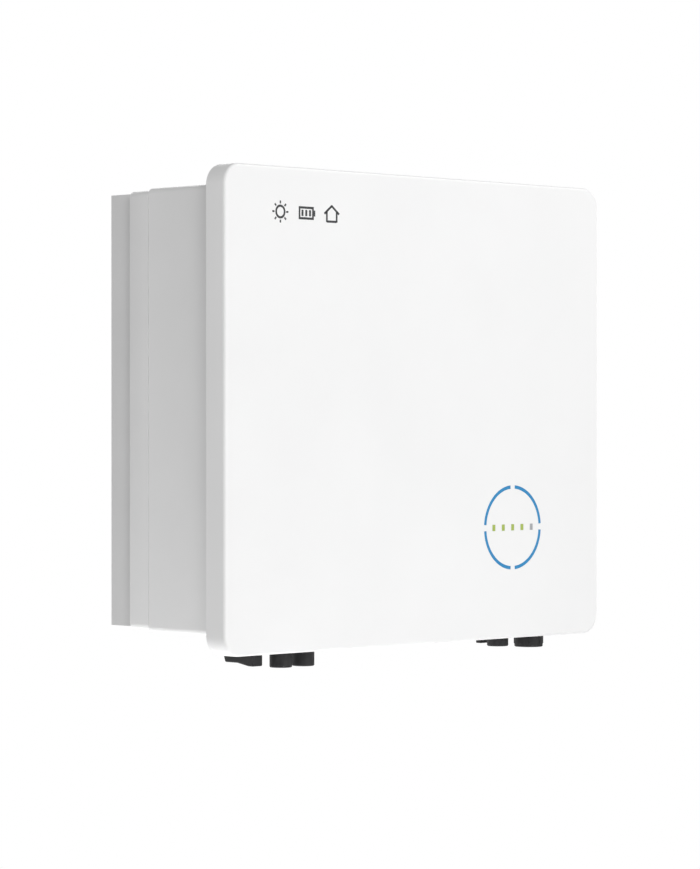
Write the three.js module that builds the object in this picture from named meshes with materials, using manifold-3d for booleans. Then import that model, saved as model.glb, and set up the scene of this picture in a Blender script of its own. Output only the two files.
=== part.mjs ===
// A wall-hung solar and battery inverter, built as the assembly that comes apart on a bench: a wall bracket,
// a housing with a finned heat sink at its back, a sealed lid and a front cover with its indicator lights,
// the plugs and the DC switch under the housing, and the boards, coils and capacitors inside.
//
// Sizes are in millimetres. X runs across the front, Y runs back into the wall and Z is up. The origin is the
// middle of the bracket's back face, on the wall, at half the height of the front cover.

import * as THREE from "three";
import { mergeVertices } from "three/addons/utils/BufferGeometryUtils.js";
import Module from "manifold-3d";

const wasm = await Module();
wasm.setup();

// ---------------------------------------------------------------- driving dimensions

const totalDepth = 202; // front face to wall
const gap = 0.3; // left between two pieces that touch
const roundSides = 12; // flats on a turned piece
const arcSteps = 2; // straight steps in a small piece's quarter-round corner
const fineArcSteps = 6; // the same for the front cover, its lights and the lid

// Depths called front and rear are distances behind the front face.
const cover = { width: 528, height: 460, depth: 25.5, corner: 20, wall: 2.5, edge: 3 };
const ring = { x: 133, z: -118, outer: 42.5, inner: 39.2, gapAngle: 0.155 };
const levelBar = { count: 5, pitch: 14, width: 4.2, height: 6.2 };
const lid = { width: 516, height: 448, corner: 14, rear: 19.5 - gap, thickness: 2.5 };
const flange = { width: 520, height: 452, corner: 16, front: 19.5, thickness: 5 };
const housing = { width: 490, height: 425, corner: 6, step: 128, drop: 2, rear: 155 };
const cavity = { width: 484, height: 413, corner: 20, rear: 150 };
const rearWindow = { width: 430, height: 370, corner: 10 };
const sink = { width: 470, height: 418, base: 6, rear: 193, fins: 32, fin: 3, thickFin: 9, thickIndex: 5 };
const bracket = { width: 290, bottom: -70, ledge: 120, lipTop: 134, sheet: 2, lipFront: 8.9 };
const wallSlot = { width: 12, height: 24, x: 115, upper: 88, lower: -48 };
const hanger = { width: 340, bottom: 92, top: 152, sheet: 2, recess: 3 };
const board = { width: 430, height: 350, thickness: 2, front: 136 };

const floorZ = -housing.height / 2; // the housing's underside
const sinkFront = housing.rear + gap;
const finPitch = (sink.width - sink.fin) / (sink.fins - 1);
const thickFinX = sink.width / 2 - sink.fin / 2 - sink.thickIndex * finPitch;
const coverPost = { x: 225, z: 195, radius: 5 };
const lidScrew = { x: 248, z: 217 };
const hangerScrewZ = 108;

// What stands under the housing: x across, y behind the front face, r the radius of the hole in its floor.
const dcSwitch = { x: -165.6, y: 80, r: 4 };
const pvSockets = [
  { name: "pv_socket_1_plus", x: -134, y: 60 },
  { name: "pv_socket_1_minus", x: -104, y: 60 },
  { name: "pv_socket_2_plus", x: -104, y: 91 },
  { name: "pv_socket_2_minus", x: -74, y: 91 },
];
const pvHole = 8;
const batterySockets = [
  { name: "battery_socket_plus", x: -30, y: 92 },
  { name: "battery_socket_minus", x: 6, y: 92 },
];
const batteryHole = 9.5;
const loggerPort = { x: 190.3, y: 91, r: 9.5 };
const comGland = { x: 66, y: 92, r: 12.5 };
const backup = { x: 176, y: 60, r: 14 };
const grid = { x: 223.6, y: 60, r: 14 };
const vent = { x: 120, y: 104, r: 5 };
const earth = { y: 100, z: -188, r: 3 };

// ---------------------------------------------------------------- materials

function finish(color, roughness, metalness = 0) {
  return new THREE.MeshStandardMaterial({ color, roughness, metalness });
}

const whitePaint = finish(0xf2f2f0, 0.45);
const housingPaint = finish(0xdcdcda, 0.55);
const castAluminium = finish(0xb9bbbd, 0.5, 0.8);
const zincSteel = finish(0xa8abad, 0.4, 0.9);
const blackPlastic = finish(0x2b2b2c, 0.5);
const greyRubber = finish(0x3a3a3b, 0.9);
const blueGuide = finish(0x4a90b8, 0.3);
const greenGuide = finish(0x9fb55a, 0.3);
const circuitBoard = finish(0x1f5c3a, 0.5);
const capacitorSleeve = finish(0x23262b, 0.4);
const coilEnamel = finish(0x9a4f24, 0.4, 0.4);
const relayCase = finish(0x2f4a78, 0.5);
const moduleCase = finish(0x4b4b4d, 0.5);

// ---------------------------------------------------------------- solids

// A closed geometry as a manifold-3d solid, with its shared points merged and its faces turned outwards.
function solidOf(geometry) {
  const bare = geometry.index ? geometry.toNonIndexed() : geometry.clone();
  bare.deleteAttribute("normal");
  bare.deleteAttribute("uv");
  const merged = mergeVertices(bare, 1e-3);
  const point = merged.attributes.position;
  const faces = [];
  const corner = [new THREE.Vector3(), new THREE.Vector3(), new THREE.Vector3()];
  let volume = 0;
  for (let i = 0; i < merged.index.count; i += 3) {
    const face = [0, 1, 2].map((k) => merged.index.getX(i + k));
    if (new Set(face).size < 3) continue; // a pole's triangle with no area
    face.forEach((index, k) => corner[k].fromBufferAttribute(point, index));
    volume += corner[0].dot(corner[1].clone().cross(corner[2]));
    faces.push(face);
  }
  const triVerts = new Uint32Array(faces.flatMap((face) => (volume < 0 ? face.reverse() : face)));
  return new wasm.Manifold(new wasm.Mesh({ numProp: 3, vertProperties: point.array, triVerts }));
}

function geometryOf(solid) {
  const mesh = solid.getMesh();
  const geometry = new THREE.BufferGeometry();
  geometry.setAttribute("position", new THREE.BufferAttribute(mesh.vertProperties, 3));
  geometry.setIndex(new THREE.BufferAttribute(mesh.triVerts, 1));
  return geometry;
}

const join = (...geometries) => geometryOf(geometries.map(solidOf).reduce((all, next) => all.add(next)));

function cut(geometry, ...tools) {
  return geometryOf(tools.map(solidOf).reduce((all, tool) => all.subtract(tool), solidOf(geometry)));
}

// ---------------------------------------------------------------- outlines and basic shapes

function roundedRect(width, height, radius) {
  const x = width / 2 - radius;
  const y = height / 2 - radius;
  const shape = new THREE.Shape();
  shape.absarc(x, y, radius, 0, Math.PI / 2);
  shape.absarc(-x, y, radius, Math.PI / 2, Math.PI);
  shape.absarc(-x, -y, radius, Math.PI, Math.PI * 1.5);
  shape.absarc(x, -y, radius, Math.PI * 1.5, Math.PI * 2);
  return shape;
}

function polygon(points) {
  return new THREE.Shape(points.map(([x, y]) => new THREE.Vector2(x, y)));
}

// One of the ring's four arcs, centred on the given angle.
function arcOutline(inner, outer, middle, half) {
  const shape = new THREE.Shape();
  shape.absarc(0, 0, outer, middle - half, middle + half, false);
  shape.absarc(0, 0, inner, middle + half, middle - half, true);
  return shape;
}

// The outline lies in X and Z, and the thickness runs back along Y from 0.
function slab(outline, thickness, curveSegments = arcSteps) {
  return new THREE.ExtrudeGeometry(outline, { depth: thickness, bevelEnabled: false, curveSegments })
    .rotateX(Math.PI / 2)
    .translate(0, thickness, 0);
}

// The outline lies in X and Y, and the piece rises along Z from 0.
function column(outline, height) {
  return new THREE.ExtrudeGeometry(outline, { depth: height, bevelEnabled: false, curveSegments: arcSteps });
}

// The outline lies in Y and Z, and the piece runs along X, centred on 0.
function rail(outline, length) {
  const turn = new THREE.Matrix4().makeBasis(
    new THREE.Vector3(0, 1, 0),
    new THREE.Vector3(0, 0, 1),
    new THREE.Vector3(1, 0, 0),
  );
  return new THREE.ExtrudeGeometry(outline, { depth: length, bevelEnabled: false })
    .applyMatrix4(turn)
    .translate(-length / 2, 0, 0);
}

// A box given by its low and high corners.
function box(low, high) {
  const size = high.map((value, i) => value - low[i]);
  return new THREE.BoxGeometry(...size).translate(...low.map((value, i) => value + size[i] / 2));
}

const profilePoints = (profile) => profile.map(([radius, along]) => new THREE.Vector2(radius, along));

// A piece turned about Y, whose profile is a list of [radius, depth].
function turnedBack(profile, sides = roundSides) {
  return join(new THREE.LatheGeometry(profilePoints(profile), sides));
}

// A piece turned about Z. Its profile is a list of [radius, height].
const turned = (profile, sides) => turnedBack(profile, sides).rotateX(Math.PI / 2);

function pinUp(radius, bottom, top, sides) {
  return turned([[0, bottom], [radius, bottom], [radius, top], [0, top]], sides);
}

function pinBack(radius, front, rear, sides) {
  return turnedBack([[0, front], [radius, front], [radius, rear], [0, rear]], sides);
}

// A closed band between two rounded rectangles, as a gasket or its groove.
function band(width, height, corner, thickness, depth) {
  const outline = roundedRect(width, height, corner);
  outline.holes.push(roundedRect(width - 2 * thickness, height - 2 * thickness, corner - thickness));
  return slab(outline, depth, 3);
}

function piece(parent, name, geometry, material, x = 0, y = 0, z = 0) {
  const mesh = new THREE.Mesh(geometry, material);
  mesh.name = name;
  mesh.position.set(x, y, z);
  parent.add(mesh);
  return mesh;
}

const corners = (x, z) => [[-x, z], [x, z], [x, -z], [-x, -z]];

// ---------------------------------------------------------------- front cover and its lights

const arcAngles = [0, 1, 2, 3].map((quarter) => Math.PI / 4 + (quarter * Math.PI) / 2);
const arcHalf = Math.PI / 4 - ring.gapAngle / 2;
const lastBar = levelBar.count - 1;
const barX = Array.from({ length: levelBar.count }, (_, i) => (i - lastBar / 2) * levelBar.pitch);

// The five level bars, grown by spare on every side.
function levelBars(spare, front, rear) {
  const halfWidth = levelBar.width / 2 + spare;
  const halfHeight = levelBar.height / 2 + spare;
  return barX.map((x) => box([x - halfWidth, front, -halfHeight], [x + halfWidth, rear, halfHeight]));
}

function frontCover() {
  const shell = new THREE.ExtrudeGeometry(
    roundedRect(cover.width - 2 * cover.edge, cover.height - 2 * cover.edge, cover.corner - cover.edge),
    {
      depth: cover.depth,
      bevelThickness: cover.edge,
      bevelSize: cover.edge,
      bevelSegments: 3,
      curveSegments: fineArcSteps,
    },
  )
    .rotateX(Math.PI / 2)
    .translate(0, cover.depth + cover.edge, 0);
  // Only the front edge is rounded, so the far bevel is cut off.
  const farBevel = box(
    [-cover.width, cover.depth, -cover.height],
    [cover.width, cover.depth + 2 * cover.edge, cover.height],
  );
  const inside = slab(
    roundedRect(cover.width - 2 * cover.wall, cover.height - 2 * cover.wall, cover.corner - cover.wall),
    cover.depth,
    fineArcSteps,
  ).translate(0, cover.wall, 0);
  const slots = arcAngles.map((angle) => {
    const outline = arcOutline(ring.inner - gap, ring.outer + gap, angle, arcHalf + gap / ring.outer);
    return slab(outline, 2 * cover.wall, fineArcSteps).translate(ring.x, -1, ring.z);
  });
  const windows = levelBars(gap, -1, 2 * cover.wall).map((bar) => bar.translate(ring.x, 0, ring.z));
  const tray = cut(shell, farBevel, inside, ...slots, ...windows);
  const postEnd = lid.rear - lid.thickness - gap;
  const posts = corners(coverPost.x, coverPost.z).map(([x, z]) =>
    pinBack(coverPost.radius, cover.wall - 1, postEnd, 8).translate(x, 0, z),
  );
  return join(tray, ...posts);
}

// A light guide is a flat web behind the cover with raised ribs that show through its slots.
const guideWeb = { front: cover.wall + gap, rear: 5, outer: 46, inner: 37.5 };

function ringLightGuide() {
  const web = turnedBack(
    [
      [guideWeb.inner, guideWeb.front],
      [guideWeb.outer, guideWeb.front],
      [guideWeb.outer, guideWeb.rear],
      [guideWeb.inner, guideWeb.rear],
      [guideWeb.inner, guideWeb.front],
    ],
    24,
  );
  const ribs = arcAngles.map((angle) =>
    slab(arcOutline(ring.inner, ring.outer, angle, arcHalf), guideWeb.rear, fineArcSteps),
  );
  return join(web, ...ribs);
}

function levelLightGuide() {
  const web = slab(roundedRect(66, 14, 4), guideWeb.rear - guideWeb.front).translate(0, guideWeb.front, 0);
  return join(web, ...levelBars(0, 0, guideWeb.rear));
}

// A flat cable with a short foot on each board, seen from the side.
function indicatorCable(front, rear, width) {
  const foot = 7;
  const half = 0.4;
  const side = polygon([
    [front, foot],
    [front, -half],
    [rear - 2 * half, -half],
    [rear - 2 * half, -foot],
    [rear, -foot],
    [rear, half],
    [front + 2 * half, half],
    [front + 2 * half, foot],
  ]);
  return rail(side, width);
}

const cableZ = -76;

function addCover(parent) {
  piece(parent, "front_cover", frontCover(), whitePaint);
  piece(parent, "ring_light_guide", ringLightGuide(), blueGuide, ring.x, 0, ring.z);
  piece(parent, "level_light_guide", levelLightGuide(), greenGuide, ring.x, 0, ring.z);
  const boardFront = 7;
  const boardThickness = 1.6;
  const plate = slab(roundedRect(112, 104, 3), boardThickness);
  piece(parent, "indicator_board", plate, circuitBoard, ring.x, boardFront, ring.z);
  const cable = indicatorCable(boardFront + boardThickness + gap, 57.7, 16);
  piece(parent, "indicator_cable", cable, greyRubber, ring.x, 0, cableZ);
}

// ---------------------------------------------------------------- lid, housing and heat sink

const lidSeal = { width: 498, height: 434, corner: 22, thickness: 4, depth: 2.5 };
const sinkSeal = { width: 446, height: 386, corner: 14, thickness: 4, depth: 2.5 };
const cableSlot = { width: 26, height: 12 };

function addLid(parent) {
  const plate = slab(roundedRect(lid.width, lid.height, lid.corner), lid.thickness);
  const holes = corners(lidScrew.x, lidScrew.z).map(([x, z]) => pinBack(2.3, -1, 4, 8).translate(x, 0, z));
  const slot = slab(roundedRect(cableSlot.width, cableSlot.height, 4), 5).translate(ring.x, -1, cableZ);
  const front = lid.rear - lid.thickness;
  piece(parent, "lid_plate", cut(plate, ...holes, slot), castAluminium, 0, front, 0);
  const seal = band(
    lidSeal.width - gap * 2, lidSeal.height - gap * 2, lidSeal.corner - gap, lidSeal.thickness - gap * 2,
    lidSeal.depth - gap,
  );
  piece(parent, "lid_gasket", seal, greyRubber, 0, flange.front, 0);
  piece(parent, "lid_grommet", grommet(), greyRubber, ring.x, front, cableZ);
  corners(lidScrew.x, lidScrew.z).forEach(([x, z], i) => {
    const screw = join(pinBack(3.6, -2.4, -gap, 12), pinBack(1.9, -1, 11, 8));
    piece(parent, `lid_screw_${i + 1}`, screw, zincSteel, x, front, z);
  });
}

// A rubber sleeve in the lid's slot that the flat cable passes through.
function grommet() {
  const inside = polygon([[-9, -1.5], [9, -1.5], [9, 1.5], [-9, 1.5]]);
  const lip = roundedRect(cableSlot.width + 4, cableSlot.height + 4, 5);
  lip.holes.push(inside);
  const sleeve = roundedRect(cableSlot.width - 2 * gap, cableSlot.height - 2 * gap, 4 - gap);
  sleeve.holes.push(inside);
  return join(slab(lip, 1.5).translate(0, -1.5 - gap, 0), slab(sleeve, 3.5).translate(0, -1, 0));
}

function housingShell() {
  const deep = housing.height - 2 * housing.drop;
  const shell = join(
    slab(roundedRect(flange.width, flange.height, flange.corner), flange.thickness)
      .translate(0, flange.front, 0),
    slab(roundedRect(housing.width, housing.height, housing.corner), housing.step - flange.front - 1)
      .translate(0, flange.front + 1, 0),
    slab(roundedRect(housing.width, deep, housing.corner), housing.rear - flange.front - 1)
      .translate(0, flange.front + 1, 0),
  );
  const inside = slab(roundedRect(cavity.width, cavity.height, cavity.corner), cavity.rear - flange.front + 1)
    .translate(0, flange.front - 1, 0);
  const window = slab(roundedRect(rearWindow.width, rearWindow.height, rearWindow.corner), 40)
    .translate(0, housing.rear - 20, 0);
  const lidGroove = band(
    lidSeal.width, lidSeal.height, lidSeal.corner, lidSeal.thickness, lidSeal.depth + 1,
  ).translate(0, flange.front - 1, 0);
  const sinkGroove = band(
    sinkSeal.width, sinkSeal.height, sinkSeal.corner, sinkSeal.thickness, sinkSeal.depth + 1,
  ).translate(0, housing.rear - sinkSeal.depth, 0);
  const screwHoles = corners(lidScrew.x, lidScrew.z).map(([x, z]) =>
    pinBack(2.3, flange.front - 1, flange.front + 20, 8).translate(x, 0, z),
  );
  const floorHoles = [
    dcSwitch,
    ...pvSockets.map((socket) => ({ ...socket, r: pvHole })),
    ...batterySockets.map((socket) => ({ ...socket, r: batteryHole })),
    loggerPort,
    comGland,
    backup,
    grid,
    vent,
  ].map(({ x, y, r }) => pinUp(r, floorZ - 5, floorZ + 15).translate(x, y, 0));
  const earthHole = pinUp(earth.r, -10, 10)
    .rotateY(Math.PI / 2)
    .translate(housing.width / 2, earth.y, earth.z);
  return cut(shell, inside, window, lidGroove, sinkGroove, ...screwHoles, ...floorHoles, earthHole);
}

// A comb seen from above: a base plate in front and a row of fins behind it.
function heatSinkOutline() {
  const half = sink.width / 2;
  const finBack = sink.rear - sinkFront;
  const points = [[-half, 0], [half, 0]];
  for (let i = sink.fins - 1; i >= 0; i -= 1) {
    const x = -half + sink.fin / 2 + i * finPitch;
    const thick = i === sink.thickIndex || i === sink.fins - 1 - sink.thickIndex;
    const halfFin = (thick ? sink.thickFin : sink.fin) / 2;
    const right = [[x + halfFin, sink.base], [x + halfFin, finBack]];
    const left = [[x - halfFin, finBack], [x - halfFin, sink.base]];
    if (i === sink.fins - 1) right.shift();
    if (i === 0) left.pop();
    points.push(...right, ...left);
  }
  return polygon(points);
}

const boardPost = { x: 200, z: 160, radius: 5 };

function heatSink() {
  const comb = column(heatSinkOutline(), sink.height).translate(0, sinkFront, -sink.height / 2);
  const hangerRecess = box(
    [-hanger.width / 2 - 2, sink.rear - hanger.recess, hanger.bottom - 2],
    [hanger.width / 2 + 2, sink.rear + 5, hanger.top + 2],
  );
  const screwHoles = [-thickFinX, thickFinX].map((x) => pinBack(2.4, sink.rear - 22, sink.rear + 5, 10)
    .translate(x, 0, hangerScrewZ));
  const posts = corners(boardPost.x, boardPost.z).map(([x, z]) =>
    pinBack(boardPost.radius, board.front + board.thickness + gap, sinkFront + 1, 10).translate(x, 0, z),
  );
  return join(cut(comb, hangerRecess, ...screwHoles), ...posts);
}

function addHousing(parent) {
  piece(parent, "housing", housingShell(), housingPaint);
  piece(parent, "heat_sink", heatSink(), housingPaint);
  const seal = band(
    sinkSeal.width - gap * 2, sinkSeal.height - gap * 2, sinkSeal.corner - gap, sinkSeal.thickness - gap * 2,
    sinkSeal.depth - gap,
  );
  piece(parent, "heat_sink_gasket", seal, greyRubber, 0, housing.rear - sinkSeal.depth + gap, 0);
  const earthScrew = join(
    turned([[0, gap], [7, gap], [7, 1.5], [0, 1.5]]),
    turned([[0, 1], [4.6, 1], [4.6, 5], [0, 5]], 6),
    pinUp(2.7, -12, 3, 10),
  ).rotateY(Math.PI / 2);
  piece(parent, "earth_screw", earthScrew, zincSteel, housing.width / 2, earth.y, earth.z);
}

// ---------------------------------------------------------------- wall bracket and what hangs on it

// A plate on the wall whose top is folded forward and up into a lip. Y is 0 on the wall. Its four screw
// slots are upright, so that the plate can be levelled.
function wallBracket() {
  const { sheet, lipFront, ledge, lipTop, bottom } = bracket;
  const side = polygon([
    [0, bottom],
    [0, ledge],
    [-lipFront + sheet, ledge],
    [-lipFront + sheet, lipTop],
    [-lipFront, lipTop],
    [-lipFront, ledge - sheet],
    [-sheet, ledge - sheet],
    [-sheet, bottom],
  ]);
  const opening = slab(roundedRect(wallSlot.width, wallSlot.height, wallSlot.width / 2), 12);
  const slots = [-wallSlot.x, wallSlot.x].flatMap((x) =>
    [wallSlot.upper, wallSlot.lower].map((z) => opening.clone().translate(x, -6, z)),
  );
  return cut(rail(side, bracket.width), ...slots);
}

// The hanger is screwed to the fins, reaches over the bracket's lip and comes down behind it.
function hangerRail() {
  const { sheet } = hanger;
  const front = sink.rear - hanger.recess + gap;
  const lipRear = totalDepth - 4.1;
  const over = bracket.lipTop + gap;
  const side = polygon([
    [front, hanger.bottom],
    [front + sheet, hanger.bottom],
    [front + sheet, over],
    [lipRear - sheet, over],
    [lipRear - sheet, bracket.ledge + 1],
    [lipRear, bracket.ledge + 1],
    [lipRear, over + sheet],
    [front + sheet, over + sheet],
    [front + sheet, hanger.top],
    [front, hanger.top],
  ]);
  const holes = [-thickFinX, thickFinX].map((x) =>
    pinBack(2.6, front - 5, front + 8, 10).translate(x, 0, hangerScrewZ),
  );
  const besideBracket = [-1, 1].map((way) =>
    box(
      [way * 162 - 20, front + sheet, hanger.bottom - 1],
      [way * 162 + 20, lipRear + 1, hanger.top + 1],
    ),
  );
  return cut(rail(side, hanger.width), ...holes, ...besideBracket);
}

function addHanger(parent) {
  piece(parent, "hanger_rail", hangerRail(), zincSteel);
  const plateRear = sink.rear - hanger.recess + gap + hanger.sheet;
  [["left", -thickFinX], ["right", thickFinX]].forEach(([side, x]) => {
    const screw = join(pinBack(4.6, gap, 2.9, 12), pinBack(2, -14, 1, 10));
    piece(parent, `hanger_screw_${side}`, screw, zincSteel, x, plateRear, hangerScrewZ);
  });
  [["left", -150], ["right", 150]].forEach(([side, x]) => {
    const pad = slab(roundedRect(36, 36, 5), totalDepth - sink.rear - gap);
    piece(parent, `lower_spacer_${side}`, pad, greyRubber, x, sink.rear + gap, -165);
  });
}

// ---------------------------------------------------------------- plugs and switch under the housing
// Each is turned about an upright axis, and its height 0 is the housing's underside.

// A single-pole panel socket: a threaded neck through the floor, a flange, and a sleeve open at the bottom.
function poleSocket({ neck, sleeve, bore, length, boreDepth }) {
  return turned([
    [0, 16],
    [neck * 0.7, 16],
    [neck * 0.7, 10],
    [neck, 10],
    [neck, -gap],
    [sleeve + 1, -gap],
    [sleeve + 1, -5],
    [sleeve, -5],
    [sleeve, -length + 1],
    [sleeve - 0.8, -length],
    [bore, -length],
    [bore, -length + boreDepth],
    [0, -length + boreDepth],
  ]);
}

// The grid plug's panel socket, closed by a cap.
function gridSocket() {
  return turned([
    [0, 14], [10, 14], [10, 8], [grid.r - gap, 8], [grid.r - gap, -gap], [18, -gap], [18, -5], [13.5, -5],
    [13.5, -28], [0, -28],
  ]);
}

// A cap with eight grip ribs that turns to free it from the socket under it.
function gridCap() {
  const shell = turned([
    [14, -6], [14.8, -6], [14.8, -32.4], [14.2, -33], [0, -33], [0, -29], [14, -29], [14, -6],
  ], 18);
  const rib = box([14.2, -1.6, -30], [15.4, 1.6, -8]);
  const ribs = Array.from({ length: 8 }, (_, i) => rib.clone().rotateZ((i * Math.PI) / 4));
  return join(shell, ...ribs);
}

function backupSocket() {
  return turned([
    [0, 14], [10, 14], [10, 8], [backup.r - gap, 8], [backup.r - gap, -gap], [18, -gap], [18, -5], [11, -5],
    [11, -29.4], [10.2, -30.2], [8, -30.2], [8, -14], [0, -14],
  ]);
}

// The ring that locks a plug on the backup socket, with six grip ribs.
function lockRing() {
  const shell = turned([[11.5, -6], [14.4, -6], [14.4, -20], [11.5, -20], [11.5, -6]], 18);
  const rib = box([13.8, -1.8, -19], [15.4, 1.8, -7]);
  const ribs = Array.from({ length: 6 }, (_, i) => rib.clone().rotateZ((i * Math.PI) / 3));
  return join(shell, ...ribs);
}

function addPlugs(parent) {
  for (const { name, x, y } of pvSockets) {
    const shape = poleSocket({ neck: pvHole - gap, sleeve: 11, bore: 7.5, length: 36, boreDepth: 24 });
    piece(parent, name, shape, blackPlastic, x, y, 0);
  }
  for (const { name, x, y } of batterySockets) {
    const shape = poleSocket({ neck: batteryHole - gap, sleeve: 12.5, bore: 9, length: 25, boreDepth: 16 });
    piece(parent, name, shape, blackPlastic, x, y, 0);
  }
  piece(parent, "grid_socket", gridSocket(), blackPlastic, grid.x, grid.y, 0);
  piece(parent, "grid_cap", gridCap(), blackPlastic, grid.x, grid.y, 0);
  piece(parent, "backup_socket", backupSocket(), blackPlastic, backup.x, backup.y, 0);
  piece(parent, "backup_lock_ring", lockRing(), blackPlastic, backup.x, backup.y, 0);
}

function addPorts(parent) {
  // The communication cable gland: a hexagonal body, a nut that turns on it, and a blank rubber seal.
  const glandBody = join(
    turned([[0, 8], [comGland.r - gap, 8], [comGland.r - gap, -gap], [0, -gap]]),
    turned([[0, -gap], [16, -gap], [16, -7], [0, -7]], 6),
    turned([[0, -6], [11, -6], [11, -13], [0, -13]]),
  );
  const glandNut = cut(
    join(
      turned([[0, -7 - gap], [14, -7 - gap], [14, -19], [11.5, -22], [0, -22]]),
      turned([[0, -8], [15, -8], [15, -17], [0, -17]], 6),
    ),
    pinUp(11 + 2 * gap, -14, 0),
    pinUp(8, -30, 0),
  );
  const glandSeal = turned([[0, -13 - gap], [7.6, -13 - gap], [7.6, -22.5], [6, -23], [0, -23]]);
  piece(parent, "com_gland_body", glandBody, blackPlastic, comGland.x, comGland.y, 0);
  piece(parent, "com_gland_nut", glandNut, blackPlastic, comGland.x, comGland.y, 0);
  piece(parent, "com_gland_seal", glandSeal, greyRubber, comGland.x, comGland.y, 0);
  const neck = loggerPort.r - gap;
  const port = turned([[0, 10], [neck, 10], [neck, -gap], [13, -gap], [13, -4], [9, -4], [9, -17], [0, -17]]);
  const capShell = turned([
    [9.4, -5], [11.4, -5], [11.4, -28], [10.4, -29], [0, -29], [0, -18.5], [9.4, -18.5], [9.4, -5],
  ]);
  const cap = cut(capShell, box([-20, 3, -40], [20, 20, -20.5]), box([-20, -20, -40], [20, -3, -20.5]));
  piece(parent, "logger_port", port, blackPlastic, loggerPort.x, loggerPort.y, 0);
  piece(parent, "logger_port_cap", cap, blackPlastic, loggerPort.x, loggerPort.y, 0);
  const valve = join(turned([[0, -gap], [9, -gap], [9, -4], [7.5, -6], [0, -6]]), pinUp(vent.r - gap, -1, 9));
  piece(parent, "vent_valve", valve, blackPlastic, vent.x, vent.y, 0);
}

// The DC switch's knob: a round skirt, a straight grip whose front end is the lower one, and the shaft.
function switchKnob() {
  const skirt = turned([[0, -4], [18, -4], [16.5, -15], [0, -15]], 16);
  const gripSide = polygon([
    [-21, -14], [21, -14], [21, -24], [18.5, -31], [1.5, -31], [-14, -33.6], [-21, -33.6],
  ]);
  return join(skirt, rail(gripSide, 13), pinUp(3, -5, 18));
}

function addSwitch(parent) {
  const plate = turned([[3.6, -gap], [22, -gap], [22, -2.5], [21, -3.5], [3.6, -3.5], [3.6, -gap]], 16);
  const body = cut(column(roundedRect(44, 44, 3), 42).translate(0, 0, 6 + gap), pinUp(3.4, 0, 20));
  piece(parent, "dc_switch_plate", plate, blackPlastic, dcSwitch.x, dcSwitch.y, 0);
  piece(parent, "dc_switch_body", body, moduleCase, dcSwitch.x, dcSwitch.y, 0);
  piece(parent, "dc_switch_knob", switchKnob(), blackPlastic, dcSwitch.x, dcSwitch.y, 0);
}

// ---------------------------------------------------------------- inside the housing
// Pieces on the power board are modelled with y 0 at the board's face, and stand forward of it.

function coil(outer, inner, height) {
  const soft = height * 0.18;
  return turnedBack(
    [
      [inner, -height + soft], [inner + soft, -height], [outer - soft, -height], [outer, -height + soft],
      [outer, 0], [inner, 0], [inner, -height + soft],
    ],
    14,
  );
}

function capacitor(radius, height) {
  return turnedBack([
    [0, -height + 1], [radius - 4, -height + 1], [radius - 3, -height], [radius - 1, -height],
    [radius, -height + 1], [radius, -8], [radius - 1.5, -6.5], [radius, -5], [radius, 0], [0, 0],
  ]);
}

function transformer() {
  const core = box([-32, -42, -28], [32, -10, 28]);
  const windows = box([-22, -60, -18], [22, 10, -9]);
  const winding = slab(roundedRect(44, 44, 10), 44).translate(0, -48, 0);
  const foot = box([-24, -6, -24], [24, 0, 24]);
  return join(cut(core, windows, windows.clone().translate(0, 0, 27)), winding, foot);
}

function powerModule() {
  const pins = [-40, -24, -8, 8, 24, 40].flatMap((x) =>
    [-22, 22].map((z) => box([x - 0.7, -4.7, z - 0.7], [x + 0.7, 1, z + 0.7])),
  );
  return join(slab(roundedRect(104, 58, 4), 12 - gap), ...pins);
}

const fan = { size: 60, thickness: 20, bore: 27.5, hub: 11, blades: 7 };

function fanFrame() {
  const frame = cut(column(roundedRect(fan.size, fan.size, 5), fan.thickness), pinUp(fan.bore, -1, 30, 16));
  const spokes = [0, 1].map((i) => box([-29, -2, 0], [29, 2, 2]).rotateZ(Math.PI / 4 + (i * Math.PI) / 2));
  return join(frame, pinUp(10, 0, 2), ...spokes);
}

function fanRotor() {
  const blade = box([fan.hub - 2, -7, -0.8], [fan.bore - 2, 7, 0.8]).rotateX(0.6).translate(0, 0, 10.5);
  const blades = Array.from({ length: fan.blades }, (_, i) =>
    blade.clone().rotateZ((i * 2 * Math.PI) / fan.blades),
  );
  return join(pinUp(fan.hub, 2 + gap, 18), ...blades);
}

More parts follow.
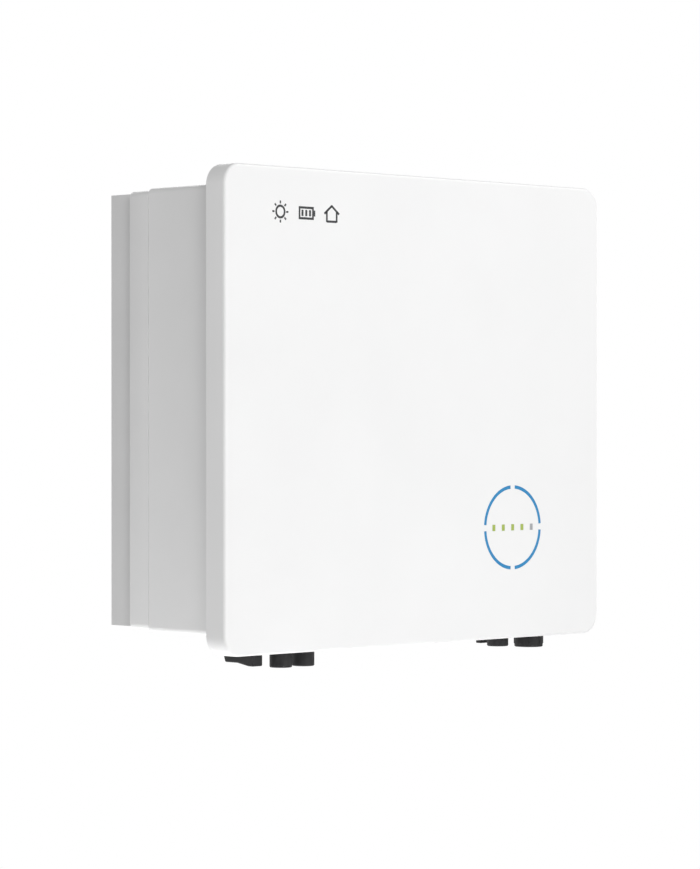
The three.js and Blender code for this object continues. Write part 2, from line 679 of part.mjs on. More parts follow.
function addPowerBoard(parent) {
  const plate = slab(roundedRect(board.width, board.height, 4), board.thickness);
  piece(parent, "power_board", plate, circuitBoard, 0, board.front, 0);
  const onBoard = new THREE.Group();
  onBoard.position.y = board.front - gap;
  parent.add(onBoard);
  for (let i = 0; i < 4; i += 1) {
    piece(onBoard, `dc_link_capacitor_${i + 1}`, capacitor(17.5, 50), capacitorSleeve, -75 + 40 * i, 0, 15);
  }
  piece(onBoard, "boost_inductor_1", coil(38, 14, 36), coilEnamel, -165, 0, 110);
  piece(onBoard, "boost_inductor_2", coil(38, 14, 36), coilEnamel, -165, 0, 20);
  piece(onBoard, "output_inductor_1", coil(38, 14, 36), coilEnamel, 160, 0, 40);
  piece(onBoard, "output_inductor_2", coil(38, 14, 36), coilEnamel, 75, 0, 115);
  piece(onBoard, "battery_transformer", transformer(), greyRubber, -55, 0, 110);
  piece(onBoard, "emi_choke", coil(26, 11, 28), coilEnamel, 165, 0, -58);
  const relay = slab(roundedRect(30, 26, 2), 32).translate(0, -32, 0);
  piece(onBoard, "relay_1", relay, relayCase, -20, 0, -120);
  piece(onBoard, "relay_2", relay, relayCase, 25, 0, -120);
  piece(onBoard, "fan_frame", fanFrame(), blackPlastic, 160, -fan.size / 2, 115);
  piece(onBoard, "fan_rotor", fanRotor(), blackPlastic, 160, -fan.size / 2, 115);
  const moduleFront = housing.rear - 12;
  piece(parent, "power_module_1", powerModule(), moduleCase, -70, moduleFront, 60);
  piece(parent, "power_module_2", powerModule(), moduleCase, 70, moduleFront, 60);
}

function addControlBoard(parent) {
  const front = 60;
  const sheet = 1.5;
  const rear = board.front - gap;
  const half = 105;
  // A bridge over the power board, seen from above, with two legs that end in feet.
  const bridge = column(
    polygon([
      [-half - 14, rear], [-half - 14, rear - sheet], [-half - sheet, rear - sheet], [-half - sheet, front],
      [half + sheet, front], [half + sheet, rear - sheet], [half + 14, rear - sheet], [half + 14, rear],
      [half, rear], [half, front + sheet], [-half, front + sheet], [-half, rear],
    ]),
    96,
  );
  piece(parent, "control_board_bracket", bridge, zincSteel, 15, 0, -168);
  // The board reaches past the bridge's right leg, to where the indicator cable comes down on it.
  const plate = slab(roundedRect(232, 92, 3), 1.6);
  piece(parent, "control_board", plate, circuitBoard, 31, front - 1.6 - gap, -120);
}

// ---------------------------------------------------------------- assembly

const assembly = new THREE.Group();
piece(assembly, "wall_bracket", wallBracket(), zincSteel);

const inverter = new THREE.Group(); // its y is the distance behind the front face
inverter.position.y = -totalDepth;
assembly.add(inverter);
addCover(inverter);
addLid(inverter);
addHousing(inverter);
addHanger(inverter);
addPowerBoard(inverter);
addControlBoard(inverter);

const underside = new THREE.Group(); // its z is the height above the housing's underside
underside.position.z = floorZ;
inverter.add(underside);
addPlugs(underside);
addPorts(underside);
addSwitch(underside);

export default assembly;
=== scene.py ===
import math

import bmesh
import bpy
from mathutils import Matrix, Vector


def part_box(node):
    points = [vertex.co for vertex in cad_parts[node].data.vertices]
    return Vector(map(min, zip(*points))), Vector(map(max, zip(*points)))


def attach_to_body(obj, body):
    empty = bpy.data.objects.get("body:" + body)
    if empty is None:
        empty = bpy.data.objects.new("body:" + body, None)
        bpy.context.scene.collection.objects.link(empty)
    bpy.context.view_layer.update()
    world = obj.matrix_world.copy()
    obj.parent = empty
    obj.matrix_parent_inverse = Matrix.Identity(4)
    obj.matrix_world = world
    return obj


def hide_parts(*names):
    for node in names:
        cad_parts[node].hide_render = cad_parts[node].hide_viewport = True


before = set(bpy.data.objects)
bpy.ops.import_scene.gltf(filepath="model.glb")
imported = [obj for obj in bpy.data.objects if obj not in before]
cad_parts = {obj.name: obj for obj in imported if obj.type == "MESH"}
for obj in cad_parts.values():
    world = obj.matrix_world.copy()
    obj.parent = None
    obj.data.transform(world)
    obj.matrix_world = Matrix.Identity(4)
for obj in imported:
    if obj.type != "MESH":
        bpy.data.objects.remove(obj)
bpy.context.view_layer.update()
print("frame loaded:", len(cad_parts), "nodes")

# Shapes are built in millimetres and turned to metres as each piece is finished.
toMetres = Matrix.Scale(0.001, 4)
aroundX = Matrix.Rotation(math.pi / 2, 4, "X")
gap = 0.3  # what separate pieces leave between them
sharpAngle = math.radians(30)  # an edge that turns more than this shows as an edge
mergeDistance = 0.0005
boardLift = 0.02  # parts stand this far off the face of their board


def nodeBox(node):
    low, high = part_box(node)
    return low * 1000, high * 1000


def nodeSpan(node):
    low, high = nodeBox(node)
    return low, high, (low + high) / 2


def nodeMiddle(node):
    return nodeSpan(node)[2]


def srgb(code):
    parts = [int(code[i:i + 2], 16) / 255 for i in (1, 3, 5)]
    linear = [c / 12.92 if c <= 0.04045 else ((c + 0.055) / 1.055) ** 2.4 for c in parts]
    return (*linear, 1)


def addNode(material, kind, inputs={}, **settings):
    node = material.node_tree.nodes.new(kind)
    for name, value in settings.items():
        setattr(node, name, value)
    for name, value in inputs.items():
        socket = node.inputs[name]
        if isinstance(value, bpy.types.NodeSocket):
            material.node_tree.links.new(value, socket)
        else:
            socket.default_value = value
    return node


def startFinish(name):
    material = bpy.data.materials.new(name)
    material.use_nodes = True
    material.node_tree.nodes.clear()
    place = addNode(material, "ShaderNodeTexCoord").outputs["Object"]
    return material, place


def closeFinish(material, **inputs):
    inputs = {key.replace("_", " "): value for key, value in inputs.items()}
    shader = addNode(material, "ShaderNodeBsdfPrincipled", inputs)
    addNode(material, "ShaderNodeOutputMaterial", {"Surface": shader.outputs["BSDF"]})
    return material


def perMetre(millimetres):
    return 1000 / millimetres


def noiseAt(material, place, size, detail=2.0, roughness=0.5):
    # size is the width of one blotch or grain in millimetres
    inputs = {"Vector": place, "Scale": perMetre(size), "Detail": detail, "Roughness": roughness}
    return addNode(material, "ShaderNodeTexNoise", inputs).outputs["Fac"]


def between(material, factor, low, high):
    inputs = {"Value": factor, "From Min": 0.3, "From Max": 0.7, "To Min": low, "To Max": high}
    return addNode(material, "ShaderNodeMapRange", inputs).outputs["Result"]


def tinted(material, factor, first, second):
    ramp = addNode(material, "ShaderNodeValToRGB", {"Fac": factor})
    ramp.color_ramp.elements[0].position = 0.3
    ramp.color_ramp.elements[0].color = srgb(first)
    ramp.color_ramp.elements[1].position = 0.7
    ramp.color_ramp.elements[1].color = srgb(second)
    return ramp.outputs["Color"]


def bumped(material, height, depth, strength=1.0):
    # depth is the height of the relief in millimetres
    inputs = {"Height": height, "Strength": strength, "Distance": depth / 1000}
    return addNode(material, "ShaderNodeBump", inputs).outputs["Normal"]


def mouldedCoverWhite():
    # injection-moulded ASA with a fine spark-eroded grain: an even satin white, no sparkle
    material, place = startFinish("moulded ASA white")
    grain = noiseAt(material, place, 0.7, 3)
    broad = noiseAt(material, place, 90, 2)
    return closeFinish(
        material,
        Base_Color=tinted(material, broad, "#f1f1f1", "#f3f3f3"),
        Roughness=between(material, grain, 0.42, 0.5),
        Normal=bumped(material, grain, 0.012),
        IOR=1.49,
    )


def powderCoatGrey(name, first, second):
    # polyester powder over the casting: a soft orange peel 1.6 mm across
    material, place = startFinish(name)
    peel = noiseAt(material, place, 1.6, 1)
    broad = noiseAt(material, place, 60, 2)
    return closeFinish(
        material,
        Base_Color=tinted(material, broad, first, second),
        Roughness=between(material, peel, 0.48, 0.58),
        Normal=bumped(material, peel, 0.03),
        IOR=1.5,
    )


def zincSheet():
    # zinc-plated steel sheet: cool grey with faint rolling streaks
    material, place = startFinish("zinc-plated steel sheet")
    mapping = addNode(material, "ShaderNodeMapping", {"Vector": place, "Scale": (0.06, 1, 1)})
    stretched = mapping.outputs["Vector"]
    streak = noiseAt(material, stretched, 1.5, 3)
    cloud = noiseAt(material, place, 14, 3)
    return closeFinish(
        material,
        Base_Color=tinted(material, cloud, "#a9acae", "#b9bcbd"),
        Metallic=1.0,
        Roughness=between(material, streak, 0.32, 0.46),
        Normal=bumped(material, streak, 0.006),
    )


def stainlessTurned():
    # stainless steel screws: bright, lightly tumbled
    material, place = startFinish("stainless steel, tumbled")
    scuff = noiseAt(material, place, 0.8, 4)
    return closeFinish(
        material,
        Base_Color=tinted(material, scuff, "#b3b4b5", "#c6c7c8"),
        Metallic=1.0,
        Roughness=between(material, scuff, 0.22, 0.36),
    )


def bareAluminium():
    # mill-finish aluminium sheet with a fine lengthways grain
    material, place = startFinish("mill-finish aluminium")
    mapping = addNode(material, "ShaderNodeMapping", {"Vector": place, "Scale": (1, 1, 0.05)})
    stretched = mapping.outputs["Vector"]
    grain = noiseAt(material, stretched, 0.9, 3)
    return closeFinish(
        material,
        Base_Color=tinted(material, grain, "#c3c5c6", "#cfd1d2"),
        Metallic=1.0,
        Roughness=between(material, grain, 0.3, 0.42),
        Normal=bumped(material, grain, 0.006),
    )


def glassNylonBlack():
    # glass-filled nylon, moulded: near-black with a matt skin that catches a soft grey edge
    material, place = startFinish("glass-filled nylon black")
    grain = noiseAt(material, place, 0.5, 3)
    broad = noiseAt(material, place, 9, 3)
    return closeFinish(
        material,
        Base_Color=tinted(material, broad, "#29292a", "#2e2e2f"),
        Roughness=between(material, grain, 0.5, 0.64),
        Normal=bumped(material, grain, 0.02),
        IOR=1.53,
        Specular_IOR_Level=0.3,
    )


def epdmRubber():
    # EPDM rubber: black, chalky and quite rough
    material, place = startFinish("EPDM rubber")
    dust = noiseAt(material, place, 4, 4)
    grain = noiseAt(material, place, 0.4, 2)
    return closeFinish(
        material,
        Base_Color=tinted(material, dust, "#262626", "#303030"),
        Roughness=between(material, dust, 0.8, 0.92),
        Normal=bumped(material, grain, 0.02),
        IOR=1.52,
    )


def acrylicGuide(name, dark, light, glow):
    # tinted acrylic lit from behind: smooth, with a little diffuser mottling
    material, place = startFinish(name)
    mottle = noiseAt(material, place, 2.5, 2)
    colour = tinted(material, mottle, dark, light)
    return closeFinish(
        material,
        Base_Color=colour,
        Emission_Color=colour,
        Emission_Strength=glow,
        Roughness=0.28,
        IOR=1.49,
    )


def printedInk():
    # screen-printed ink: flat dark grey with a faint mesh texture
    material, place = startFinish("screen-printed ink")
    mesh = noiseAt(material, place, 0.5, 2)
    return closeFinish(
        material,
        Base_Color=tinted(material, mesh, "#37383a", "#3f4042"),
        Roughness=between(material, mesh, 0.4, 0.55),
        IOR=1.48,
    )


def wavesAt(material, place, direction, pitch):
    # pitch is the distance from one band to the next in millimetres
    inputs = {"Vector": place, "Scale": math.pi / 10 * perMetre(pitch)}
    return addNode(material, "ShaderNodeTexWave", inputs, bands_direction=direction).outputs["Fac"]


def solderMask():
    # green solder mask over copper: bundles of parallel tracks, level in some patches and upright in others,
    # drawn 2.1 mm apart, coarser than real ones, so that they show
    material, place = startFinish("solder mask over copper tracks")
    patchWidth = 17.5 / 1000
    inputs = {0: place, 1: (patchWidth, patchWidth, patchWidth)}
    patch = addNode(material, "ShaderNodeVectorMath", inputs, operation="SNAP").outputs["Vector"]
    chance = addNode(material, "ShaderNodeTexWhiteNoise", {"Vector": patch}).outputs["Value"]
    upright = wavesAt(material, place, "X", 2.1)
    level = wavesAt(material, place, "Z", 2.1)
    isLevel = addNode(material, "ShaderNodeMath", {0: chance, 1: 0.8}, operation="GREATER_THAN")
    choice = {"Factor": isLevel.outputs["Value"], "A": upright, "B": level}
    bands = addNode(material, "ShaderNodeMix", choice).outputs["Result"]
    filled = addNode(material, "ShaderNodeMath", {0: chance, 1: 0.6}, operation="LESS_THAN").outputs["Value"]
    shown = addNode(material, "ShaderNodeMath", {0: bands, 1: filled}, operation="MAXIMUM").outputs["Value"]
    ramp = addNode(material, "ShaderNodeValToRGB", {"Fac": shown})
    ramp.color_ramp.elements[0].position = 0.62
    ramp.color_ramp.elements[0].color = srgb("#174a30")
    ramp.color_ramp.elements[1].position = 0.74
    ramp.color_ramp.elements[1].color = srgb("#1f5a3a")
    return closeFinish(
        material,
        Base_Color=ramp.outputs["Color"],
        Roughness=0.3,
        Normal=bumped(material, ramp.outputs["Color"], 0.02),
        IOR=1.5,
    )


def enamelledCopper():
    # polyester-imide enamel over copper wire: deep amber and glossy
    material, place = startFinish("enamelled copper wire")
    turnTone = noiseAt(material, place, 5, 3)
    return closeFinish(
        material,
        Base_Color=tinted(material, turnTone, "#9c4a1c", "#b8632c"),
        Metallic=0.85,
        Roughness=between(material, turnTone, 0.25, 0.38),
        Coat_Weight=0.5,
        Coat_Roughness=0.1,
    )


def sinteredFerrite(name="sintered ferrite", first="#2e2e31", second="#3a3a3d"):
    # sintered ferrite, ground on its faces: charcoal with pits
    material, place = startFinish(name)
    pits = noiseAt(material, place, 0.9, 5)
    return closeFinish(
        material,
        Base_Color=tinted(material, pits, first, second),
        Roughness=between(material, pits, 0.5, 0.72),
        Normal=bumped(material, pits, 0.03),
        IOR=2.0,
    )


def shrinkSleeve():
    # PVC shrink sleeve: dark blue-black and glossy with slight ripples
    material, place = startFinish("PVC shrink sleeve")
    ripple = noiseAt(material, place, 6, 1)
    return closeFinish(
        material,
        Base_Color=tinted(material, ripple, "#1c2029", "#242935"),
        Roughness=0.25,
        Normal=bumped(material, ripple, 0.05),
        IOR=1.53,
    )


def mouldedPlastic(name, first, second, roughness=0.4):
    # small moulded housings, plain gloss with a trace of flow marking
    material, place = startFinish(name)
    flow = noiseAt(material, place, 7, 2)
    return closeFinish(
        material,
        Base_Color=tinted(material, flow, first, second),
        Roughness=between(material, flow, roughness - 0.05, roughness + 0.07),
        IOR=1.53,
    )


def tinPlate():
    # tin-plated copper contacts and pins: soft silver
    material, place = startFinish("tin-plated copper")
    bloom = noiseAt(material, place, 1.2, 3)
    return closeFinish(
        material,
        Base_Color=tinted(material, bloom, "#c4c3bd", "#d3d2cc"),
        Metallic=1.0,
        Roughness=between(material, bloom, 0.25, 0.4),
    )


coverWhite = mouldedCoverWhite()
castGrey = powderCoatGrey("powder-coated die-cast aluminium", "#f0f0f0", "#f2f2f2")
# the heat sink gets a darker copy of the housing's powder coat: painted shade standing in for the shadow on
# the set-in sink
finGreyPaintedShade = powderCoatGrey("powder-coated extruded aluminium", "#dedede", "#e1e1e1")
zinc = zincSheet()
stainless = stainlessTurned()
aluminium = bareAluminium()
blackNylon = glassNylonBlack()
rubber = epdmRubber()
ringBlue = acrylicGuide("blue-tinted acrylic", "#2f85ba", "#388cc0", 0.06)
levelGreen = acrylicGuide("green-tinted acrylic", "#9fb355", "#a9bc5f", 0.06)
# the unlit bar's acrylic still gets a faint painted glow of strength 0.02
levelUnlitPaintedGlow = acrylicGuide("smoke-tinted acrylic", "#a3a5a8", "#adafb2", 0.02)
ink = printedInk()
boardGreen = solderMask()
copperWire = enamelledCopper()
ferrite = sinteredFerrite()
moduleBlack = sinteredFerrite("epoxy module case", "#2b2b2d", "#363638")
sleeve = shrinkSleeve()
relayBlue = mouldedPlastic("PBT relay case", "#24406c", "#2b4a7a")
switchGrey = mouldedPlastic("PBT switch body", "#4a4b4d", "#555658", 0.45)
ribbonGrey = mouldedPlastic("PVC ribbon cable", "#8a8c8f", "#96989b", 0.5)
partBeige = mouldedPlastic("film capacitor box", "#b9bbb4", "#c4c6bf", 0.4)
chipBlack = mouldedPlastic("moulded chip package", "#1d1d1f", "#262628", 0.5)
polarityGrey = mouldedPlastic("printed polarity stripe", "#8e9299", "#989ca3", 0.3)
headerCream = mouldedPlastic("nylon header", "#dcd8c8", "#e4e0d2", 0.45)
filmYellow = mouldedPlastic("epoxy-filled capacitor box", "#c8a63a", "#d3b24a", 0.45)
windingTape = mouldedPlastic("polyester winding tape", "#cdb04a", "#dabf5c", 0.3)
lampWhite = mouldedPlastic("LED package", "#e8e6da", "#f0efe6", 0.35)
tin = tinPlate()
print("finishes ready")


def faceOutwards(bm):
    bmesh.ops.recalc_face_normals(bm, faces=bm.faces)
    if bm.calc_volume(signed=True) < 0:
        bmesh.ops.reverse_faces(bm, faces=bm.faces)


def linkObject(name, data):
    made = bpy.data.objects.new(name, data)
    bpy.context.scene.collection.objects.link(made)
    return made


def newMesh(name, bm):
    # the bmesh is used up
    mesh = bpy.data.meshes.new(name)
    bm.to_mesh(mesh)
    bm.free()
    return mesh


def newObject(name, bm):
    # millimetres become metres here
    bm.transform(toMetres)
    return linkObject(name, newMesh(name, bm))


def vertsOf(geometry):
    return [item for item in geometry if isinstance(item, bmesh.types.BMVert)]


def fourCorners(x, z):
    return [(across, up) for across in (-x, x) for up in (-z, z)]


def section(inner, outer, near, far):
    # a plain rectangle of (radius, height) points, to be spun
    return [(inner, near), (outer, near), (outer, far), (inner, far)]


def attach(piece, body, node=None):
    # the piece moves with a body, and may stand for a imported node
    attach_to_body(piece, body)
    if node is not None:
        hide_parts(node)
    return piece


def roundEdges(piece, radius, steps=2, angle=30):
    bevel = piece.modifiers.new("rounded edges", "BEVEL")
    bevel.width = radius / 1000
    bevel.segments = steps
    bevel.limit_method = "ANGLE"
    bevel.angle_limit = math.radians(angle)
    bevel.harden_normals = True


def finishPiece(name, bm, finish, body, node=None, edge=0.0, steps=2):
    # edge is the rounding in millimetres that a bevel gives every sharp edge
    bmesh.ops.remove_doubles(bm, verts=bm.verts, dist=mergeDistance)
    faceOutwards(bm)
    piece = newObject(name, bm)
    piece.data.shade_smooth()
    piece.data.materials.append(finish)
    if edge > 0:
        roundEdges(piece, edge, steps)
    else:
        piece.data.set_sharp_from_angle(angle=sharpAngle)
    return attach(piece, body, node)


def pieceName(node):
    first, *rest = node.split("_")
    return first + "".join(word.capitalize() for word in rest)


def settle(piece):
    # the modifiers become part of the mesh
    view = bpy.context.evaluated_depsgraph_get()
    mesh = bpy.data.meshes.new_from_object(piece.evaluated_get(view))
    piece.modifiers.clear()
    piece.data = mesh
    return piece


def toolShape(name, bm):
    faceOutwards(bm)
    return newObject(name, bm)


def combine(piece, tool, operation="DIFFERENCE"):
    step = piece.modifiers.new("combine", "BOOLEAN")
    step.object = tool
    step.operation = operation
    step.solver = "EXACT"
    settle(piece)
    piece.data.set_sharp_from_angle(angle=sharpAngle)
    bpy.data.objects.remove(tool)
    return piece


def station(size, depth, inset=0.0):
    # a rounded rectangle of width, height and corner, drawn in by an inset, at a depth
    width, height, corner = size
    return width - 2 * inset, height - 2 * inset, corner - inset, depth


def roundedLoop(bm, width, height, corner, depth, middle, steps):
    # a circle whose four quarters are pushed out to the corners of a rectangle, upright across X and Z
    count = 4 * steps
    half = math.pi / count
    corner = max(corner, 0.05)
    turn = aroundX @ Matrix.Rotation(half, 4, "Z")
    verts = bmesh.ops.create_circle(bm, segments=count, radius=corner / math.cos(half), matrix=turn)["verts"]
    for vert in verts:
        vert.co.x += math.copysign(width / 2 - corner, vert.co.x) + middle[0]
        vert.co.z += math.copysign(height / 2 - corner, vert.co.z) + middle[1]
        vert.co.y = depth
    return list(dict.fromkeys(edge for vert in verts for edge in vert.link_edges))  # once each, in order


def loft(bm, stations, middle=(0, 0), steps=8, ring=False):
    # each station is (width, height, corner, depth), and a ring joins its last station to its first
    loops = [roundedLoop(bm, *each, middle, steps) for each in stations]
    pairs = list(zip(loops, loops[1:]))
    if ring:
        pairs.append((loops[-1], loops[0]))
    for first, second in pairs:
        bmesh.ops.bridge_loops(bm, edges=first + second)
    if not ring:
        for end in (loops[0], loops[-1]):
            bmesh.ops.edgeloop_fill(bm, edges=end)


def turned(bm, profile, centre=(0, 0, 0), steps=40, closed=False):
    # a profile of (radius, height) spun about the upright axis through a centre
    verts = [bm.verts.new((centre[0] + r, centre[1], centre[2] + h)) for r, h in profile]
    edges = [bm.edges.new(pair) for pair in zip(verts, verts[1:])]
    if closed:
        edges.append(bm.edges.new((verts[-1], verts[0])))
    bmesh.ops.spin(
        bm, geom=verts + edges, cent=centre, axis=(0, 0, 1), angle=2 * math.pi, steps=steps, use_merge=True,
    )
    bmesh.ops.remove_doubles(bm, verts=bm.verts, dist=mergeDistance)


def addMesh(bm, other):
    mesh = newMesh("added", other)
    bm.from_mesh(mesh)
    bpy.data.meshes.remove(mesh)


def turnedBack(bm, profile, centre, steps=40, closed=False):
    # the same about an axis that runs back along Y, with a profile of (radius, depth behind the centre)
    fresh = bmesh.new()
    turned(fresh, profile, (0, 0, 0), steps, closed)
    fresh.transform(Matrix.Translation(centre) @ Matrix.Rotation(-math.pi / 2, 4, "X"))
    addMesh(bm, fresh)


def block(bm, low, high):
    size = [b - a for a, b in zip(low, high)]
    middle = [(a + b) / 2 for a, b in zip(low, high)]
    place = Matrix.Translation(middle) @ Matrix.Diagonal((*size, 1))
    return bmesh.ops.create_cube(bm, size=1, matrix=place)["verts"]


def arcBlock(bm, inner, outer, front, rear, start, sweep, centre, steps):
    # a rectangle spun part of the way round an axis along Y
    along = (math.cos(start), math.sin(start))
    verts = [
        bm.verts.new((centre[0] + r * along[0], y, centre[2] + r * along[1]))
        for r, y in section(inner, outer, front, rear)
    ]
    face = bm.faces.new(verts)
    bmesh.ops.spin(
        bm, geom=[face, *face.verts, *face.edges], cent=centre, axis=(0, -1, 0), angle=sweep, steps=steps,
        use_duplicate=False,
    )


def ribsOn(bm, low, high, radius, every, depth):
    # every few faces of a turned wall between two heights grow outwards into grip ribs
    walls = [
        face for face in bm.faces
        if low < face.calc_center_median().z < high
        and abs(face.normal.z) < 0.2
        and Vector(face.calc_center_median().xy).length > radius
    ]
    walls.sort(key=lambda face: math.atan2(face.calc_center_median().y, face.calc_center_median().x))
    for face in walls[::every]:
        outward = Vector((*face.calc_center_median().xy, 0)).normalized() * depth
        rib = bmesh.ops.extrude_discrete_faces(bm, faces=[face])["faces"][0]
        bmesh.ops.translate(bm, verts=rib.verts, vec=outward)
        toMiddle = Matrix.Translation(-rib.calc_center_median())
        bmesh.ops.scale(bm, verts=rib.verts, vec=(0.8, 0.8, 0.94), space=toMiddle)


def turnedPart(name, shape, place, finish, body, node=None, steps=48):
    # a moulding turned about the upright axis, with grip ribs if its dictionary has any
    bm = bmesh.new()
    turned(bm, shape["profile"], (0, 0, 0), steps, shape.get("closed", False))
    if "ribs" in shape:
        ribsOn(bm, **shape["ribs"])
    bm.transform(Matrix.Translation(place))
    return finishPiece(name, bm, finish, body, node)


coverShape = {
    "corner": 20, "edge": 3, "wall": 2.5, "cornerSteps": 14, "edgeSteps": 7,
    "rim": 0.6, "inner": 2,  # the small rounds on the rim and inside the front
}
postShape = {"x": 225, "z": 195, "radius": 5, "foot": 6.5, "hole": 1.6, "holeDepth": 8}
ringShape = {
    "inner": 39.2, "outer": 42.5, "gapAngle": 0.155, "slack": 0.12, "web": (37.5, 46), "webDepth": (2.8, 5),
}
levelShape = {"count": 5, "pitch": 14, "width": 4.2, "height": 6.2, "web": (66, 14, 4)}
markShape = {"x": -192, "z": 187, "size": 20, "pitch": 34, "line": 2.2, "thick": 0.08}
frontY = nodeBox("front_cover")[0].y
ringMiddle = nodeMiddle("ring_light_guide")
ringMiddle.y = frontY
arcStarts = [quarter * math.pi / 2 + ringShape["gapAngle"] / 2 for quarter in range(4)]
arcSweep = math.pi / 2 - ringShape["gapAngle"]
middleBar = (levelShape["count"] - 1) / 2
barPlaces = [ringMiddle.x + (i - middleBar) * levelShape["pitch"] for i in range(levelShape["count"])]


def arcs(bm, slack, front, rear):
    spare = slack / ringShape["outer"]
    for start in arcStarts:
        arcBlock(
            bm, ringShape["inner"] - slack, ringShape["outer"] + slack, front, rear,
            start - spare, arcSweep + 2 * spare, ringMiddle, 28,
        )


def bars(bm, slack, front, rear):
    wide, high = levelShape["width"] / 2 + slack, levelShape["height"] / 2 + slack
    for x in barPlaces:
        block(bm, (x - wide, front, ringMiddle.z - high), (x + wide, rear, ringMiddle.z + high))


def coverShell():
    low, high = nodeBox("front_cover")
    edge, wall, rim, steps = (coverShape[key] for key in ("edge", "wall", "rim", "edgeSteps"))
    outline = (high.x - low.x, high.z - low.z, coverShape["corner"])
    stations = []
    for i in range(steps + 1):
        angle = i / steps * math.pi / 2
        stations.append(station(outline, low.y + edge * (1 - math.cos(angle)), edge * (1 - math.sin(angle))))
    stations += [
        station(outline, high.y - rim),
        station(outline, high.y, rim),
        station(outline, high.y, wall),
        station(outline, low.y + wall + coverShape["inner"], wall),
        station(outline, low.y + wall, wall + coverShape["inner"]),
    ]
    bm = bmesh.new()
    loft(bm, stations, steps=coverShape["cornerSteps"])
    shell = finishPiece("frontCover", bm, coverWhite, "cover", "front_cover")
    cutter = bmesh.new()
    arcs(cutter, ringShape["slack"], low.y - 2, low.y + 2 * wall)
    bars(cutter, ringShape["slack"], low.y - 2, low.y + 2 * wall)
    return combine(shell, toolShape("slots", cutter))


def coverPosts():
    # four screw posts that reach back to the lid, with a filleted foot and a blind hole
    radius, foot, hole = postShape["radius"], postShape["foot"], postShape["hole"]
    depth = nodeBox("lid_plate")[0].y - gap - frontY
    bottom = depth - postShape["holeDepth"]
    bm = bmesh.new()
    for x, z in fourCorners(postShape["x"], postShape["z"]):
        turnedBack(bm, [
            (0, 2.5), (foot, 2.5), (radius, 4.5), (radius, depth - 0.5), (radius - 0.5, depth),
            (hole, depth), (hole, bottom), (0, bottom),
        ], (x, frontY, z), 24)
    return finishPiece("coverPosts", bm, coverWhite, "cover")


def ringGuide():
    (inner, outer), (front, rear) = ringShape["web"], ringShape["webDepth"]
    bm = bmesh.new()
    turnedBack(bm, section(inner, outer, front, rear), ringMiddle, 96, closed=True)
    guide = finishPiece("ringLightGuide", bm, ringBlue, "cover", "ring_light_guide")
    ribs = bmesh.new()
    arcs(ribs, 0, frontY + 0.02, frontY + front + 1)
    return combine(guide, toolShape("ringRibs", ribs), "UNION")


def levelGuide():
    front, rear = ringShape["webDepth"]
    web = levelShape["web"]
    bm = bmesh.new()
    loft(bm, [station(web, frontY + front), station(web, frontY + rear)], (ringMiddle.x, ringMiddle.z))
    guide = finishPiece("levelLightGuide", bm, levelGreen, "cover", "level_light_guide")
    ribs = bmesh.new()
    bars(ribs, 0, frontY + 0.02, frontY + front + 1)
    combine(guide, toolShape("levelRibs", ribs), "UNION")
    guide.data.materials.append(levelUnlitPaintedGlow)  # the last bar is unlit while the battery isn't full, yet keeps a faint painted glow
    for face in guide.data.polygons:
        if face.center.x * 1000 > barPlaces[-1] - 4 and face.center.y * 1000 < frontY + front - 0.1:
            face.material_index = 1
    return guide


def frontMarks():
    # three plain printed pictograms: the sun, a battery and a house
    size, line = markShape["size"], markShape["line"]
    front, rear = frontY - markShape["thick"], frontY + 0.05
    bm = bmesh.new()

    def bar(x, z, width, height, turn=0.0):
        verts = block(bm, (-width / 2, front, -height / 2), (width / 2, rear, height / 2))
        place = Matrix.Translation((x, 0, z)) @ Matrix.Rotation(turn, 4, "Y")
        bmesh.ops.transform(bm, matrix=place, verts=verts)

    x, z = markShape["x"], markShape["z"]
    arcBlock(bm, 0.22 * size, 0.22 * size + line, front, rear, 0, 2 * math.pi - 0.001, (x, front, z), 32)
    for i in range(8):
        angle, reach = i * math.pi / 4, 0.45 * size
        bar(x + reach * math.cos(angle), z + reach * math.sin(angle), 0.14 * size, line * 0.8, -angle)
    x += markShape["pitch"]
    for side in (-1, 1):
        bar(x + side * (0.5 * size - line / 2), z, line, 0.62 * size)
        bar(x, z + side * (0.31 * size - line / 2), size - 2 * line + 0.02, line)
    bar(x + 0.5 * size + line * 0.45, z, line * 0.8, 0.28 * size)
    for i in (-1, 0, 1):
        bar(x + i * 0.25 * size, z, 0.13 * size, 0.3 * size)
    x += markShape["pitch"]
    for side in (-1, 1):
        bar(x + side * 0.33 * size, z - 0.12 * size, line, 0.5 * size)
        bar(x + side * 0.24 * size, z + 0.22 * size, 0.64 * size, line, side * math.radians(38))
    bar(x, z - 0.34 * size, 0.62 * size, line)
    return finishPiece("frontMarks", bm, ink, "cover")


coverShell()
coverPosts()
ringGuide()
levelGuide()
frontMarks()
print("front cover done")


housingShape = {
    "size": (490, 425, 6), "step": 128, "drop": 2, "fillet": 1,
    "flangeCorner": 16, "flangeThickness": 5, "flangeEdge": 0.3,
    "cavity": (484, 413, 20), "cavityRear": 150, "window": (430, 370, 10),
}
lidSeal = {"size": (498, 434, 22), "band": 4, "depth": 2.5, "slack": 0.3, "round": 0.5}
sinkSeal = {"size": (446, 386, 14), "band": 4, "depth": 2.5, "slack": 0.3, "round": 0.5}
floorHoleRadius = {
    "pv_socket_1_plus": 8, "pv_socket_1_minus": 8, "pv_socket_2_plus": 8, "pv_socket_2_minus": 8,
    "battery_socket_plus": 9.5, "battery_socket_minus": 9.5, "logger_port": 9.5, "com_gland_body": 12.5,
    "backup_socket": 14, "grid_socket": 14, "vent_valve": 5, "dc_switch_plate": 4,
}
floorZ = -housingShape["size"][1] / 2  # the housing's underside


def floorHoles():
    bm = bmesh.new()
    for node, radius in floorHoleRadius.items():
        middle = nodeMiddle(node)
        turned(bm, section(0, radius, -5, 15), (middle.x, middle.y, floorZ), 32)
    return toolShape("floorHoles", bm)


